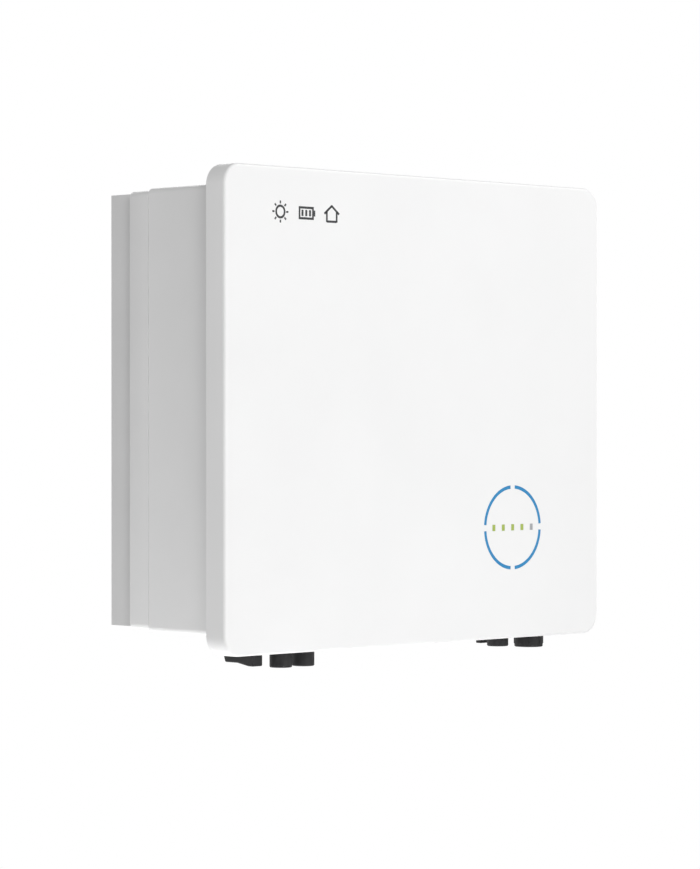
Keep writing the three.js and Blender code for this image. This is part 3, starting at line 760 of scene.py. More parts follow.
def housingShell():
    # one closed ring of stations: the outside from back to front, then the seal grooves and the cavity
    low, high = nodeBox("housing")
    front, rear, fillet, edge = low.y, high.y, housingShape["fillet"], housingShape["flangeEdge"]
    main = housingShape["size"]
    narrow = (main[0], main[1] - 2 * housingShape["drop"], main[2])
    flange = (high.x - low.x, high.z - low.z, housingShape["flangeCorner"])
    step = frontY + housingShape["step"]
    flangeRear = front + housingShape["flangeThickness"]
    cavityRear = frontY + housingShape["cavityRear"]
    lidGroove, sinkGroove = front + lidSeal["depth"], rear - sinkSeal["depth"]
    bm = bmesh.new()
    loft(bm, [
        station(narrow, rear, fillet),
        station(narrow, rear - 0.3 * fillet, 0.3 * fillet),
        station(narrow, rear - fillet),
        station(narrow, step),
        station(main, step, 0.6),
        station(main, step - 0.6),
        station(main, flangeRear + 2),
        station(main, flangeRear + 0.6, -0.6),
        station(main, flangeRear, -2),
        station(flange, flangeRear, edge),
        station(flange, flangeRear - edge),
        station(flange, front + edge),
        station(flange, front, edge),
        station(lidSeal["size"], front),
        station(lidSeal["size"], lidGroove),
        station(lidSeal["size"], lidGroove, lidSeal["band"]),
        station(lidSeal["size"], front, lidSeal["band"]),
        station(housingShape["cavity"], front),
        station(housingShape["cavity"], cavityRear),
        station(housingShape["window"], cavityRear),
        station(housingShape["window"], rear),
        station(sinkSeal["size"], rear, sinkSeal["band"]),
        station(sinkSeal["size"], sinkGroove, sinkSeal["band"]),
        station(sinkSeal["size"], sinkGroove),
        station(sinkSeal["size"], rear),
    ], ring=True)
    shell = finishPiece("housing", bm, castGrey, "inverter", "housing")
    return combine(shell, floorHoles())


sinkShape = {
    "fins": 32, "fin": 3, "thickFin": 9, "thickIndex": 5, "base": 6, "edge": 0.4,
    "recess": 3, "screwHole": 2.4,
}
boardPost = {"x": 200, "z": 160, "radius": 5}


def heatSink():
    # a plate sliced at each fin's sides, whose fin strips grow back towards the wall
    low, high = nodeBox("heat_sink")
    front = nodeBox("housing")[1].y + gap
    rear = front + sinkShape["base"]
    last = sinkShape["fins"] - 1
    pitch = (high.x - low.x - sinkShape["fin"]) / last
    spans = []
    for i in range(sinkShape["fins"]):
        thick = i in (sinkShape["thickIndex"], last - sinkShape["thickIndex"])
        half = (sinkShape["thickFin"] if thick else sinkShape["fin"]) / 2
        x = low.x + sinkShape["fin"] / 2 + i * pitch
        spans.append((x - half, x + half))
    bm = bmesh.new()
    block(bm, (low.x, front, low.z), (high.x, rear, high.z))
    for x in [x for span in spans for x in span]:
        if low.x + 0.1 < x < high.x - 0.1:
            geometry = list(bm.verts) + list(bm.edges) + list(bm.faces)
            bmesh.ops.bisect_plane(bm, geom=geometry, plane_co=(x, 0, 0), plane_no=(1, 0, 0), dist=0.0001)
    backs = [
        face for face in bm.faces
        if face.normal.y > 0.9 and any(a < face.calc_center_median().x < b for a, b in spans)
    ]
    grown = bmesh.ops.extrude_face_region(bm, geom=backs)["geom"]
    bmesh.ops.delete(bm, geom=backs, context="FACES_ONLY")
    bmesh.ops.translate(bm, verts=vertsOf(grown), vec=(0, high.y - rear, 0))
    sink = finishPiece("heatSink", bm, finGreyPaintedShade, "inverter", "heat_sink")
    hangerLow, hangerHigh = nodeBox("hanger_rail")
    recess, hole = bmesh.new(), sinkShape["screwHole"]
    block(
        recess, (hangerLow.x - 2, high.y - sinkShape["recess"], hangerLow.z - 2),
        (hangerHigh.x + 2, high.y + 5, hangerHigh.z + 2),
    )
    for node in ("hanger_screw_left", "hanger_screw_right"):
        middle = nodeMiddle(node)
        turnedBack(recess, section(0, hole, -22, 5), (middle.x, high.y, middle.z), 20)
    combine(sink, toolShape("recess", recess))
    roundEdges(sink, sinkShape["edge"], angle=40)


def boardPosts():
    # cast posts on the heat sink that carry the power board
    rear = nodeBox("housing")[1].y + gap
    front = nodeBox("power_board")[1].y + gap
    span, radius = rear - front, boardPost["radius"]
    posts = bmesh.new()
    for x, z in fourCorners(boardPost["x"], boardPost["z"]):
        turnedBack(posts, [
            (0, 0), (radius - 0.4, 0), (radius, 0.4), (radius + 0.4, span), (0, span),
        ], (x, front, z), 24)
    finishPiece("boardPosts", posts, finGreyPaintedShade, "inverter")


def gasket(name, node, seal):
    # a moulded cord that lies in its groove, with round shoulders at the front
    low, high = nodeBox(node)
    width, height, corner = seal["size"]
    slack, bulge = seal["slack"], seal["round"]
    outer = (width - 2 * slack, height - 2 * slack, corner - slack)
    band = seal["band"] - 2 * slack
    bm = bmesh.new()
    loft(bm, [
        station(outer, low.y + bulge), station(outer, low.y, bulge), station(outer, low.y, band - bulge),
        station(outer, low.y + bulge, band), station(outer, high.y, band), station(outer, high.y),
    ], ring=True)
    return finishPiece(name, bm, rubber, "inverter", node)


lidShape = {"corner": 14, "edge": 0.5, "slot": (26, 12, 4), "screwX": 248, "screwZ": 217, "screwHole": 2.3}
grommetShape = {"slit": (18, 3, 0.5), "lip": (30, 16, 5), "lipDepth": 1.5, "sleeve": (25.4, 11.4, 3.7)}
lidScrewShape = {"head": 3.6, "headDepth": 2.1, "shank": 1.9, "socket": 1.6, "socketDepth": 1.4}


def lidPlate():
    low, high = nodeBox("lid_plate")
    outline = (high.x - low.x, high.z - low.z, lidShape["corner"])
    bm = bmesh.new()
    loft(bm, [
        station(outline, low.y, lidShape["edge"]), station(outline, low.y + lidShape["edge"]),
        station(outline, high.y),
    ])
    lid = finishPiece("lidPlate", bm, aluminium, "inverter", "lid_plate")
    grommet = nodeMiddle("lid_grommet")
    holes, radius = bmesh.new(), lidShape["screwHole"]
    loft(holes, [
        station(lidShape["slot"], low.y - 1), station(lidShape["slot"], high.y + 1),
    ], (grommet.x, grommet.z))
    for x, z in fourCorners(lidShape["screwX"], lidShape["screwZ"]):
        turnedBack(holes, section(0, radius, -1, 5), (x, low.y, z), 20)
    return combine(lid, toolShape("lidHoles", holes))


def lidGrommet():
    low, high, middle = nodeSpan("lid_grommet")
    slit, lip, sleeve = (grommetShape[key] for key in ("slit", "lip", "sleeve"))
    shoulder = low.y + grommetShape["lipDepth"]
    bm = bmesh.new()
    loft(bm, [
        station(slit, low.y + 0.3), station(slit, low.y, -0.5), station(lip, low.y, 0.5),
        station(lip, low.y + 0.4), station(lip, shoulder - 0.2), station(lip, shoulder, 0.5),
        station(sleeve, shoulder), station(sleeve, high.y - 0.3), station(sleeve, high.y, 0.3),
        station(slit, high.y),
    ], (middle.x, middle.z), ring=True)
    return finishPiece("lidGrommet", bm, rubber, "inverter", "lid_grommet")


def lidScrew(number):
    # a socket screw that runs back through the lid into the flange
    node = f"lid_screw_{number}"
    low, high, middle = nodeSpan(node)
    length = high.y - low.y
    head, shank, socket = (lidScrewShape[key] for key in ("head", "shank", "socket"))
    headRear, floor = lidScrewShape["headDepth"], lidScrewShape["socketDepth"]
    bm = bmesh.new()
    turnedBack(bm, [
        (0, floor), (socket, floor), (socket, 0.15), (socket + 0.15, 0), (head - 0.5, 0), (head, 0.5),
        (head, headRear), (shank, headRear), (shank, length - 0.8), (shank - 0.6, length), (0, length),
    ], (middle.x, low.y, middle.z), 30)
    return finishPiece(f"lidScrew{number}", bm, stainless, "inverter", node)


housingShell()
heatSink()
boardPosts()
gasket("heatSinkGasket", "heat_sink_gasket", sinkSeal)
gasket("lidGasket", "lid_gasket", lidSeal)
lidPlate()
lidGrommet()
for number in (1, 2, 3, 4):
    lidScrew(number)
print("housing done")


sheetShape = {"thick": 2, "bend": 1.4, "bendSteps": 5}
bracketShape = {"ledge": 120, "slot": (12, 24, 6), "slotX": 115, "slotZ": (88, -48)}
hangerShape = {"hookLength": 284, "hookEnd": 121, "screwHole": 2.6, "edge": 0.3}


def bentSheet(name, line, length, body, node=None, holes=None):
    # the middle of a zinc-plated sheet as (y, z) points, folded with a small radius and run along X
    bm = bmesh.new()
    verts = [bm.verts.new((-length / 2, y, z)) for y, z in line]
    for pair in zip(verts, verts[1:]):
        bm.edges.new(pair)
    bmesh.ops.bevel(
        bm, geom=verts[1:-1], offset=sheetShape["bend"], offset_type="OFFSET",
        segments=sheetShape["bendSteps"], profile=0.5, affect="VERTICES", material=-1, clamp_overlap=True,
    )
    run = bmesh.ops.extrude_edge_only(bm, edges=list(bm.edges))["geom"]
    bmesh.ops.translate(bm, verts=vertsOf(run), vec=(length, 0, 0))
    piece = finishPiece(name, bm, zinc, body, node)
    thicken = piece.modifiers.new("sheet", "SOLIDIFY")
    thicken.thickness = sheetShape["thick"] / 1000
    thicken.offset = 0
    thicken.use_even_offset = True
    settle(piece)
    if holes is not None:
        combine(piece, toolShape("sheetHoles", holes))
    piece.data.set_sharp_from_angle(angle=sharpAngle)
    return piece


def wallBracket():
    # a plate against the wall, stepped forward at its ledge into the lip that the hanger hooks over
    low, high = nodeBox("wall_bracket")
    half, ledge = sheetShape["thick"] / 2, bracketShape["ledge"]
    line = [(-half, low.z), (-half, ledge - half), (low.y + half, ledge - half), (low.y + half, high.z)]
    holes = bmesh.new()
    for x in (-bracketShape["slotX"], bracketShape["slotX"]):
        for z in bracketShape["slotZ"]:
            loft(holes, [station(bracketShape["slot"], -6), station(bracketShape["slot"], 6)], (x, z))
    return bentSheet("wallBracket", line, high.x - low.x, "bracket", "wall_bracket", holes)


def hangerRail():
    # a flat rail screwed to the fins, with a folded hook welded along its back
    low, high = nodeBox("hanger_rail")
    thick = sheetShape["thick"]
    radius = hangerShape["screwHole"]
    bm = bmesh.new()
    block(bm, low, (high.x, low.y + thick, high.z))
    rail = finishPiece("hangerRail", bm, zinc, "inverter", "hanger_rail")
    holes = bmesh.new()
    for node in ("hanger_screw_left", "hanger_screw_right"):
        middle = nodeMiddle(node)
        turnedBack(holes, section(0, radius, -6, 8), (middle.x, low.y, middle.z), 24)
    combine(rail, toolShape("railHoles", holes))
    roundEdges(rail, hangerShape["edge"])
    over = nodeBox("wall_bracket")[1].z + gap + thick / 2
    line = [(low.y + thick, over), (high.y - thick / 2, over), (high.y - thick / 2, hangerShape["hookEnd"])]
    bentSheet("hangerHook", line, hangerShape["hookLength"], "inverter")


hangerScrewShape = {"head": 4.6, "shank": 2, "headDepth": 2.6, "socket": 1.7, "socketDepth": 1.6}
spacerShape = {"pad": (36, 36, 5), "chamfer": 1.5, "dish": (20, 20, 3), "dishDepth": 2}


def hangerScrew(side):
    # a pan-head screw that faces the wall, so its head is at the rear
    node = f"hanger_screw_{side}"
    low, high, middle = nodeSpan(node)
    length = high.y - low.y
    head, shank, socket = (hangerScrewShape[key] for key in ("head", "shank", "socket"))
    headFront, floor = length - hangerScrewShape["headDepth"], length - hangerScrewShape["socketDepth"]
    bm = bmesh.new()
    turnedBack(bm, [
        (0, 0), (1.4, 0), (shank, 0.8), (shank, headFront), (head, headFront), (head, length - 0.8),
        (head - 0.6, length - 0.1), (socket + 0.3, length), (socket, length - 0.2), (socket, floor),
        (0, floor),
    ], (middle.x, low.y, middle.z), 30)
    return finishPiece(pieceName(node), bm, stainless, "inverter", node)


def lowerSpacer(side):
    # a rubber pad with chamfered edges and a shallow dish, which keeps the fins off the wall
    node = f"lower_spacer_{side}"
    low, high, middle = nodeSpan(node)
    pad, chamfer, dish = (spacerShape[key] for key in ("pad", "chamfer", "dish"))
    bm = bmesh.new()
    loft(bm, [
        station(pad, low.y, chamfer), station(pad, low.y + chamfer), station(pad, high.y - chamfer),
        station(pad, high.y, chamfer), station(dish, high.y),
        station(dish, high.y - spacerShape["dishDepth"], 1),
    ], (middle.x, middle.z))
    return finishPiece(pieceName(node), bm, rubber, "inverter", node)


wallBracket()
hangerRail()
for side in ("left", "right"):
    hangerScrew(side)
    lowerSpacer(side)
print("bracket done")


# Each profile below is (radius, height) from the housing's underside, and goes round the section in order.

solarSocket = {"neck": 7.7, "sleeve": 11, "bore": 7.5, "length": 36, "boreDepth": 24}
batterySocket = {"neck": 9.2, "sleeve": 12.5, "bore": 9, "length": 25, "boreDepth": 16}
contactShape = {"root": 2, "tip": 1.5, "bore": 0.9, "drawnIn": 5}
sealShape = {"thick": 0.45, "depth": 2.4}


def spot(node):
    middle = nodeMiddle(node)
    return Vector((middle.x, middle.y, floorZ))


def poleSocket(node, shape):
    # one pole: a threaded neck, a collar against the floor and an open sleeve with its contact and seal
    place, name = spot(node), pieceName(node)
    neck, sleeve, bore, length = (shape[key] for key in ("neck", "sleeve", "bore", "length"))
    top = shape["boreDepth"] - length
    moulding(name, {"profile": [
        (0, 16), (neck * 0.62, 16), (neck * 0.7, 15.4), (neck * 0.7, 10), (neck - 0.5, 10),
        (neck, 9.5), (neck, -0.3), (sleeve + 0.6, -0.3), (sleeve + 1, -0.7), (sleeve + 1, -4.6),
        (sleeve + 0.6, -5), (sleeve - 0.6, -5), (sleeve - 0.6, -7), (sleeve, -7.6),
        (sleeve, 0.8 - length), (sleeve - 0.8, -length), (bore + 0.3, -length),
        (bore, 0.3 - length), (bore, top), (0, top),
    ]}, place, node)
    root, tip, hole = (contactShape[key] for key in ("root", "tip", "bore"))
    end = contactShape["drawnIn"] - length
    turnedPart(name + "Contact", {"profile": [
        (0, top), (root, top), (root, end + 1), (tip, end), (hole, end), (hole, end + 4), (0, end + 4),
    ]}, place, tin, "inverter", steps=24)
    inner, outer, low = bore - sealShape["thick"] - 0.05, bore - 0.05, top - 0.6 - sealShape["depth"]
    turnedPart(name + "Seal", {"closed": True, "profile": [
        (inner, low), (outer, low + 0.4), (outer, top - 1), (inner, top - 0.6),
    ]}, place, rubber, "inverter", steps=36)


def moulding(name, shape, place, node, body="inverter", steps=48):
    return turnedPart(name, shape, place, blackNylon, body, node, steps)


panelNeck = [
    (0, 14), (9.6, 14), (10, 13.6), (10, 8), (13.3, 8), (13.7, 7.6), (13.7, -0.3), (17.6, -0.3), (18, -0.7),
    (18, -4.4), (17.4, -5),
]
gridSocketShape = {"profile": panelNeck + [(13.5, -5), (13.5, -27.5), (13, -28), (0, -28)]}
gridCapShape = {
    "profile": [
        (0, -29), (13.6, -29), (14, -28.6), (14, -6), (14.5, -6), (14.8, -6.3), (14.8, -7.8), (14.8, -30.2),
        (14.8, -32.2), (14, -33), (6, -33), (5.4, -32.4), (0, -32.4),
    ],
    "ribs": {"low": -30, "high": -8, "radius": 14.5, "every": 6, "depth": 0.6},
}
backupSocketShape = {
    "profile": panelNeck + [
        (11, -5), (11, -29.4), (10.2, -30.2), (8.3, -30.2), (8, -29.9), (8, -14), (0, -14),
    ],
}
backupPins = {
    "angles": (0.5, 2.6, 4.7), "ring": 4.2,
    "profile": [(0, -14), (1.2, -14), (1.2, -24), (0.7, -25), (0, -25)],
}
lockRingShape = {
    "closed": True,
    "profile": [
        (11.5, -6.4), (11.9, -6), (14, -6), (14.4, -6.4), (14.4, -7), (14.4, -19.2), (14.4, -19.6), (14, -20),
        (11.9, -20), (11.5, -19.6),
    ],
    "ribs": {"low": -19, "high": -7, "radius": 14.2, "every": 4, "depth": 0.9},
}


def gridOutlet():
    place = spot("grid_socket")
    moulding("gridSocket", gridSocketShape, place, "grid_socket")
    moulding("gridCap", gridCapShape, place, "grid_cap", "cap_of_grid_socket")


def backupOutlet():
    place = spot("backup_socket")
    moulding("backupSocket", backupSocketShape, place, "backup_socket")
    moulding("backupLockRing", lockRingShape, place, "backup_lock_ring", "lock_ring")
    for number, angle in enumerate(backupPins["angles"], 1):
        centre = place + Vector((math.cos(angle), math.sin(angle), 0)) * backupPins["ring"]
        turnedPart(f"backupContact{number}", backupPins, centre, tin, "inverter", steps=16)


glandBodyShape = {
    "profile": [
        (0, 8), (11.8, 8), (12.2, 7.6), (12.2, -0.3), (12.2, -1), (11, -1), (11, -12.6), (10.6, -13),
        (0, -13),
    ],
}
glandFlatsShape = {"radius": 16, "bore": 12.3, "top": -0.3, "bottom": -7, "edge": 0.5}
glandNutShape = {
    "closed": True,
    "profile": [
        (11.6, -7.7), (12, -7.3), (13.4, -7.3), (13.8, -7.7), (13.8, -18.5), (13.4, -19.4),
        (11.3, -21.7), (11, -22), (8.4, -22), (8, -21.6), (8, -14.3), (11.6, -14),
    ],
    "ribs": {"low": -18, "high": -8, "radius": 13.5, "every": 4, "depth": 0.6},
}
glandSealShape = {
    "profile": [(0, -13.3), (7.4, -13.3), (7.4, -22.2), (6.6, -22.8), (4, -23), (3, -22.4), (0, -22.4)],
}


def gland():
    place = spot("com_gland_body")
    moulding("glandBody", glandBodyShape, place, "com_gland_body")
    bore, radius, top, bottom = (glandFlatsShape[key] for key in ("bore", "radius", "top", "bottom"))
    flats = bmesh.new()
    turned(flats, section(bore, radius, top, bottom), place, 6, closed=True)
    edge = glandFlatsShape["edge"]
    finishPiece("glandFlats", flats, blackNylon, "inverter", edge=edge)
    moulding("glandNut", glandNutShape, place, "com_gland_nut", "gland_nut")
    turnedPart("glandSeal", glandSealShape, place, rubber, "inverter", "com_gland_seal")


loggerPortShape = {
    "profile": [
        (0, 10), (8.8, 10), (9.2, 9.6), (9.2, -0.3), (12.6, -0.3), (13, -0.7), (13, -3.6), (12.6, -4),
        (9, -4), (9, -16.6), (8.6, -17), (0, -17),
    ],
}
loggerCapShape = {
    "profile": [
        (0, -18.5), (9, -18.5), (9.4, -18.1), (9.4, -5.3), (9.7, -5), (11.1, -5), (11.4, -5.3), (11.4, -7),
        (11.4, -19.5), (11.4, -23.5), (10.8, -24.4), (10.8, -28.4), (10.2, -29), (0, -29),
    ],
    "ribs": {"low": -19, "high": -7.5, "radius": 11.2, "every": 4, "depth": 0.5},
}
loggerGrip = {"thick": 6, "top": -20.5}
ventShape = {
    "profile": [
        (0, 9), (4.4, 9), (4.7, 8.7), (4.7, -0.3), (8.6, -0.3), (9, -0.7), (9, -3.4), (8, -5.2), (6.8, -6),
        (2.4, -6), (1.8, -5), (0, -5),
    ],
}


def loggerOutlet():
    # the cap's lower end is cut to a flat grip
    place = spot("logger_port")
    moulding("loggerPort", loggerPortShape, place, "logger_port")
    cap = moulding("loggerPortCap", loggerCapShape, place, "logger_port_cap", "cap_of_logger_port")
    half, top = loggerGrip["thick"] / 2, loggerGrip["top"]
    sides = bmesh.new()
    for way in (-1, 1):
        near, far = sorted((way * half, way * 20))
        block(sides, place + Vector((-20, near, -40)), place + Vector((20, far, top)))
    combine(cap, toolShape("gripSides", sides))


plateShape = {
    "closed": True, "profile": [(3.6, -0.3), (22, -0.3), (22, -2.5), (21, -3.5), (4.2, -3.5), (3.6, -2.9)],
}
knobShape = {
    "profile": [
        (0, 18), (2.6, 18), (3, 17.6), (3, -4), (17.6, -4), (18, -4.4), (18, -5.4), (16.8, -14.2), (16, -15),
        (0, -15),
    ],
}
gripShape = {  # the side is (y, height) points round the grip, whose front end hangs lower than its back
    "width": 13, "edge": 1.2, "edgeSteps": 4,
    "side": [(-21, -14), (-21, -33.6), (-14, -33.6), (1.5, -31), (18.5, -31), (21, -24), (21, -14)],
    "pointer": {"width": 1.6, "front": -19, "rear": -15, "proud": 0.06, "sunk": 0.2},
}


def dcSwitch():
    place = spot("dc_switch_plate")
    moulding("switchPlate", plateShape, place, "dc_switch_plate", steps=64)
    moulding("switchKnob", knobShape, place, "dc_switch_knob", "switch_knob", 64)
    half = gripShape["width"] / 2
    grip = bmesh.new()
    face = grip.faces.new([grip.verts.new((-half, y, z)) for y, z in gripShape["side"]])
    grown = bmesh.ops.extrude_face_region(grip, geom=[face])["geom"]
    bmesh.ops.translate(grip, verts=vertsOf(grown), vec=(2 * half, 0, 0))
    grip.transform(Matrix.Translation(place))
    finishPiece(
        "switchGrip", grip, blackNylon, "switch_knob", edge=gripShape["edge"],
        steps=gripShape["edgeSteps"],
    )
    pointer = gripShape["pointer"]
    bottom, wide = min(z for y, z in gripShape["side"]), pointer["width"] / 2
    line = bmesh.new()
    block(
        line, place + Vector((-wide, pointer["front"], bottom - pointer["proud"])),
        place + Vector((wide, pointer["rear"], bottom + pointer["sunk"])),
    )
    finishPiece("switchPointer", line, coverWhite, "switch_knob")


earthShape = {
    "washer": [
        (0, 0.3), (6.6, 0.3), (7, 0.6), (7, 1.2), (6.6, 1.5), (2.6, 1.5), (2.6, -11.4), (2.2, -12), (0, -12),
    ],
    "head": [(0, 1.6), (4.6, 1.6), (4.6, 4.6), (4, 5), (0, 5)],
}


def earthScrew():
    # a hexagon-head screw and its washer on the housing's right side
    middle = nodeMiddle("earth_screw")
    side = Vector((housingShape["size"][0] / 2, middle.y, middle.z))
    place = Matrix.Translation(side) @ Matrix.Rotation(math.pi / 2, 4, "Y")
    washer, head = bmesh.new(), bmesh.new()
    turned(washer, earthShape["washer"], (0, 0, 0), 36)
    turned(head, earthShape["head"], (0, 0, 0), 6)
    washer.transform(place)
    head.transform(place)
    finishPiece("earthWasher", washer, stainless, "inverter", "earth_screw")
    finishPiece("earthScrewHead", head, stainless, "inverter", edge=0.25)


for node in ("pv_socket_1_plus", "pv_socket_1_minus", "pv_socket_2_plus", "pv_socket_2_minus"):
    poleSocket(node, solarSocket)
for node in ("battery_socket_plus", "battery_socket_minus"):
    poleSocket(node, batterySocket)
gridOutlet()
backupOutlet()
gland()
loggerOutlet()
moulding("ventValve", ventShape, spot("vent_valve"), "vent_valve")
dcSwitch()
earthScrew()
print("sockets done")


coils = {  # the bore's radius, the number of turns and the wire's thickness
    "boost_inductor_1": (14, 36, 2.1), "boost_inductor_2": (14, 36, 2.1),
    "output_inductor_1": (14, 42, 1.8), "output_inductor_2": (14, 42, 1.8),
    "emi_choke": (11, 34, 1.8),
}
windingShape = {"squareness": 4.5, "pointsPerTurn": 24, "clearance": 0.2, "coreRound": 1.5}


def squared(value):
    # bends a circle's coordinate towards a square with round corners
    return math.copysign(abs(value) ** (2 / windingShape["squareness"]), value)


def winding(node, bore, turns, wire):
    # one wire wound round and round the ring, as a tube on a closed line
    low, high, middle = nodeSpan(node)
    outer = (high.x - low.x) / 2
    ring, across = (outer + bore) / 2, (outer - bore - wire) / 2
    deep = (high.y - low.y - wire) / 2
    count = turns * windingShape["pointsPerTurn"]
    line = bpy.data.curves.new(node, "CURVE")
    line.dimensions = "3D"
    line.bevel_depth = wire / 2000
    line.bevel_resolution = 1
    path = line.splines.new("POLY")
    path.points.add(count - 1)
    path.use_cyclic_u = True
    for i, point in enumerate(path.points):
        turn = 2 * math.pi * i / windingShape["pointsPerTurn"]
        around = 2 * math.pi * i / count
        reach = ring + across * squared(math.cos(turn))
        offset = Vector((reach * math.cos(around), deep * squared(math.sin(turn)), reach * math.sin(around)))
        point.co = (*((middle + offset) / 1000), 1)
    guide = linkObject("windingLine", line)
    view = bpy.context.evaluated_depsgraph_get()
    mesh = bpy.data.meshes.new_from_object(guide.evaluated_get(view))
    bpy.data.objects.remove(guide)
    mesh.shade_smooth()
    mesh.materials.append(copperWire)
    attach(linkObject(pieceName(node), mesh), "inverter", node)


def coilCore(node, bore, wire):
    low, high, middle = nodeSpan(node)
    outer = (high.x - low.x) / 2
    spare, corner = wire + windingShape["clearance"], windingShape["coreRound"]
    inside, outside, near, far = bore + spare, outer - spare, spare, high.y - low.y - spare
    core = bmesh.new()
    turnedBack(core, [
        (inside, near + corner), (inside + corner, near), (outside - corner, near), (outside, near + corner),
        (outside, far - corner), (outside - corner, far), (inside + corner, far), (inside, far - corner),
    ], (middle.x, low.y, middle.z), 64, closed=True)
    finishPiece(pieceName(node) + "Core", core, ferrite, "inverter")


capacitorShape = {
    "lip": 3, "neckFromFoot": 6, "neckDepth": 0.9, "stripe": 0.36, "score": 0.7, "scoreDepth": 0.4,
}


def dcLinkCapacitor(node):
    # a sleeved can whose crimped foot is at the board, with three vent scores on its free end
    low, high, middle = nodeSpan(node)
    radius, length = (high.x - low.x) / 2, high.y - low.y
    lip, neck = radius - capacitorShape["lip"], length - capacitorShape["neckFromFoot"]
    end = Vector((middle.x, low.y, middle.z))
    waist = radius - capacitorShape["neckDepth"]
    wrap = bmesh.new()
    turnedBack(wrap, [
        (lip, 1.1), (lip + 0.6, 0.3), (radius - 1.4, 0), (radius - 0.4, 0.5), (radius, 1.6),
        (radius, neck - 1.4), (waist, neck - 0.2), (waist, neck + 0.6),
        (radius, neck + 1.8), (radius, length - 1), (radius - 1, length), (lip, length),
    ], end, 48, closed=True)
    can = finishPiece(pieceName(node), wrap, sleeve, "inverter", node)
    can.data.materials.append(polarityGrey)
    for face in can.data.polygons:  # the polarity stripe runs down one side
        across, up = face.center.x * 1000 - middle.x, face.center.z * 1000 - middle.z
        if math.hypot(across, up) > radius - 1 and abs(math.atan2(up, across)) < capacitorShape["stripe"]:
            face.material_index = 1
    top = bmesh.new()
    turnedBack(top, section(0, lip - 0.1, 1, length - 0.5), end, 48)
    metal = finishPiece(pieceName(node) + "Can", top, aluminium, "inverter")
    scores, half = bmesh.new(), capacitorShape["score"] / 2
    for i in range(3):
        arm = block(scores, (1.2, -1, -half), (lip - 4, 1 + capacitorShape["scoreDepth"], half))
        turn = Matrix.Rotation(i * 2 * math.pi / 3 + math.pi / 2, 4, "Y")
        bmesh.ops.transform(scores, matrix=Matrix.Translation(end) @ turn, verts=arm)
    combine(metal, toolShape("scores", scores))


transformerShape = {
    "coreHalf": 32, "coreThick": 22, "yoke": 9, "front": 2, "foot": 4, "edge": 0.6,
    "winding": (43, 50, 11), "flange": (45, 54, 3), "flangeThick": 1.3, "base": (58, 54, 2), "baseThick": 3.7,
    "pins": 16, "pinPitch": 7, "pinRow": 25, "pinWidth": 1,
}


def batteryTransformer():
    low, high, middle = nodeSpan("battery_transformer")
    reach, yoke = transformerShape["coreHalf"], transformerShape["yoke"]
    half = transformerShape["coreThick"] / 2
    front, rear = low.y + transformerShape["front"], high.y - transformerShape["foot"]
    core = bmesh.new()
    for x in (middle.x - reach, middle.x + reach - yoke):
        block(core, (x, front, middle.z - half), (x + yoke, rear, middle.z + half))
    for y in (front, rear - yoke):
        block(core, (low.x + yoke, y, middle.z - half), (high.x - yoke, y + yoke, middle.z + half))
    edge = transformerShape["edge"]
    finishPiece("transformerCore", core, ferrite, "inverter", "battery_transformer", edge=edge)
    inner, outer = front + yoke + 1.5, rear - yoke - 1.5
    coil, size = bmesh.new(), transformerShape["winding"]
    loft(coil, [
        station(size, inner, 1), station(size, inner + 1), station(size, outer - 1), station(size, outer, 1),
    ], (middle.x, middle.z), 10)
    finishPiece("transformerWinding", coil, windingTape, "inverter")
    former, thick = bmesh.new(), transformerShape["flangeThick"]
    for y in (inner - thick, outer):
        loft(former, [
            station(transformerShape["flange"], y), station(transformerShape["flange"], y + thick),
        ], (middle.x, middle.z), 6)
    base = transformerShape["base"]
    loft(former, [
        station(base, high.y - transformerShape["baseThick"]), station(base, high.y),
    ], (middle.x, middle.z), 4)
    finishPiece("transformerFormer", former, switchGrey, "inverter", edge=0.3)
    pins, pin = bmesh.new(), transformerShape["pinWidth"] / 2
    perRow = transformerShape["pins"] // 2
    for i in range(perRow):
        x = middle.x + (i - (perRow - 1) / 2) * transformerShape["pinPitch"]
        for z in (middle.z - transformerShape["pinRow"], middle.z + transformerShape["pinRow"]):
            block(pins, (x - pin, outer + 1.4, z - pin), (x + pin, high.y - 3, z + pin))
    finishPiece("transformerPins", pins, tin, "inverter")


relayShape = {
    "corner": 2, "skirt": 4, "gateX": 9, "gateZ": 7,
    "gate": [(0, -0.01), (1.8, 0.02), (2.1, 0.3), (0, 0.3)],
}
moduleShape = {"corner": 3, "baseThick": 3, "shoulder": 4, "edge": 0.3}


def relay(node):
    low, high, middle = nodeSpan(node)
    size = (high.x - low.x, high.z - low.z, relayShape["corner"])
    skirt = high.y - relayShape["skirt"]
    bm = bmesh.new()
    loft(bm, [
        station(size, low.y, 1.5), station(size, low.y + 0.4, 0.8), station(size, low.y + 1.2, 0.5),
        station(size, skirt, 0.3), station(size, skirt + 0.2), station(size, high.y),
    ], (middle.x, middle.z))
    finishPiece(pieceName(node), bm, relayBlue, "inverter", node)
    gate = bmesh.new()  # the shallow round pad where the case was filled
    place = (middle.x + relayShape["gateX"], low.y, middle.z + relayShape["gateZ"])
    turnedBack(gate, relayShape["gate"], place, 24)
    finishPiece(pieceName(node) + "Gate", gate, relayBlue, "inverter")


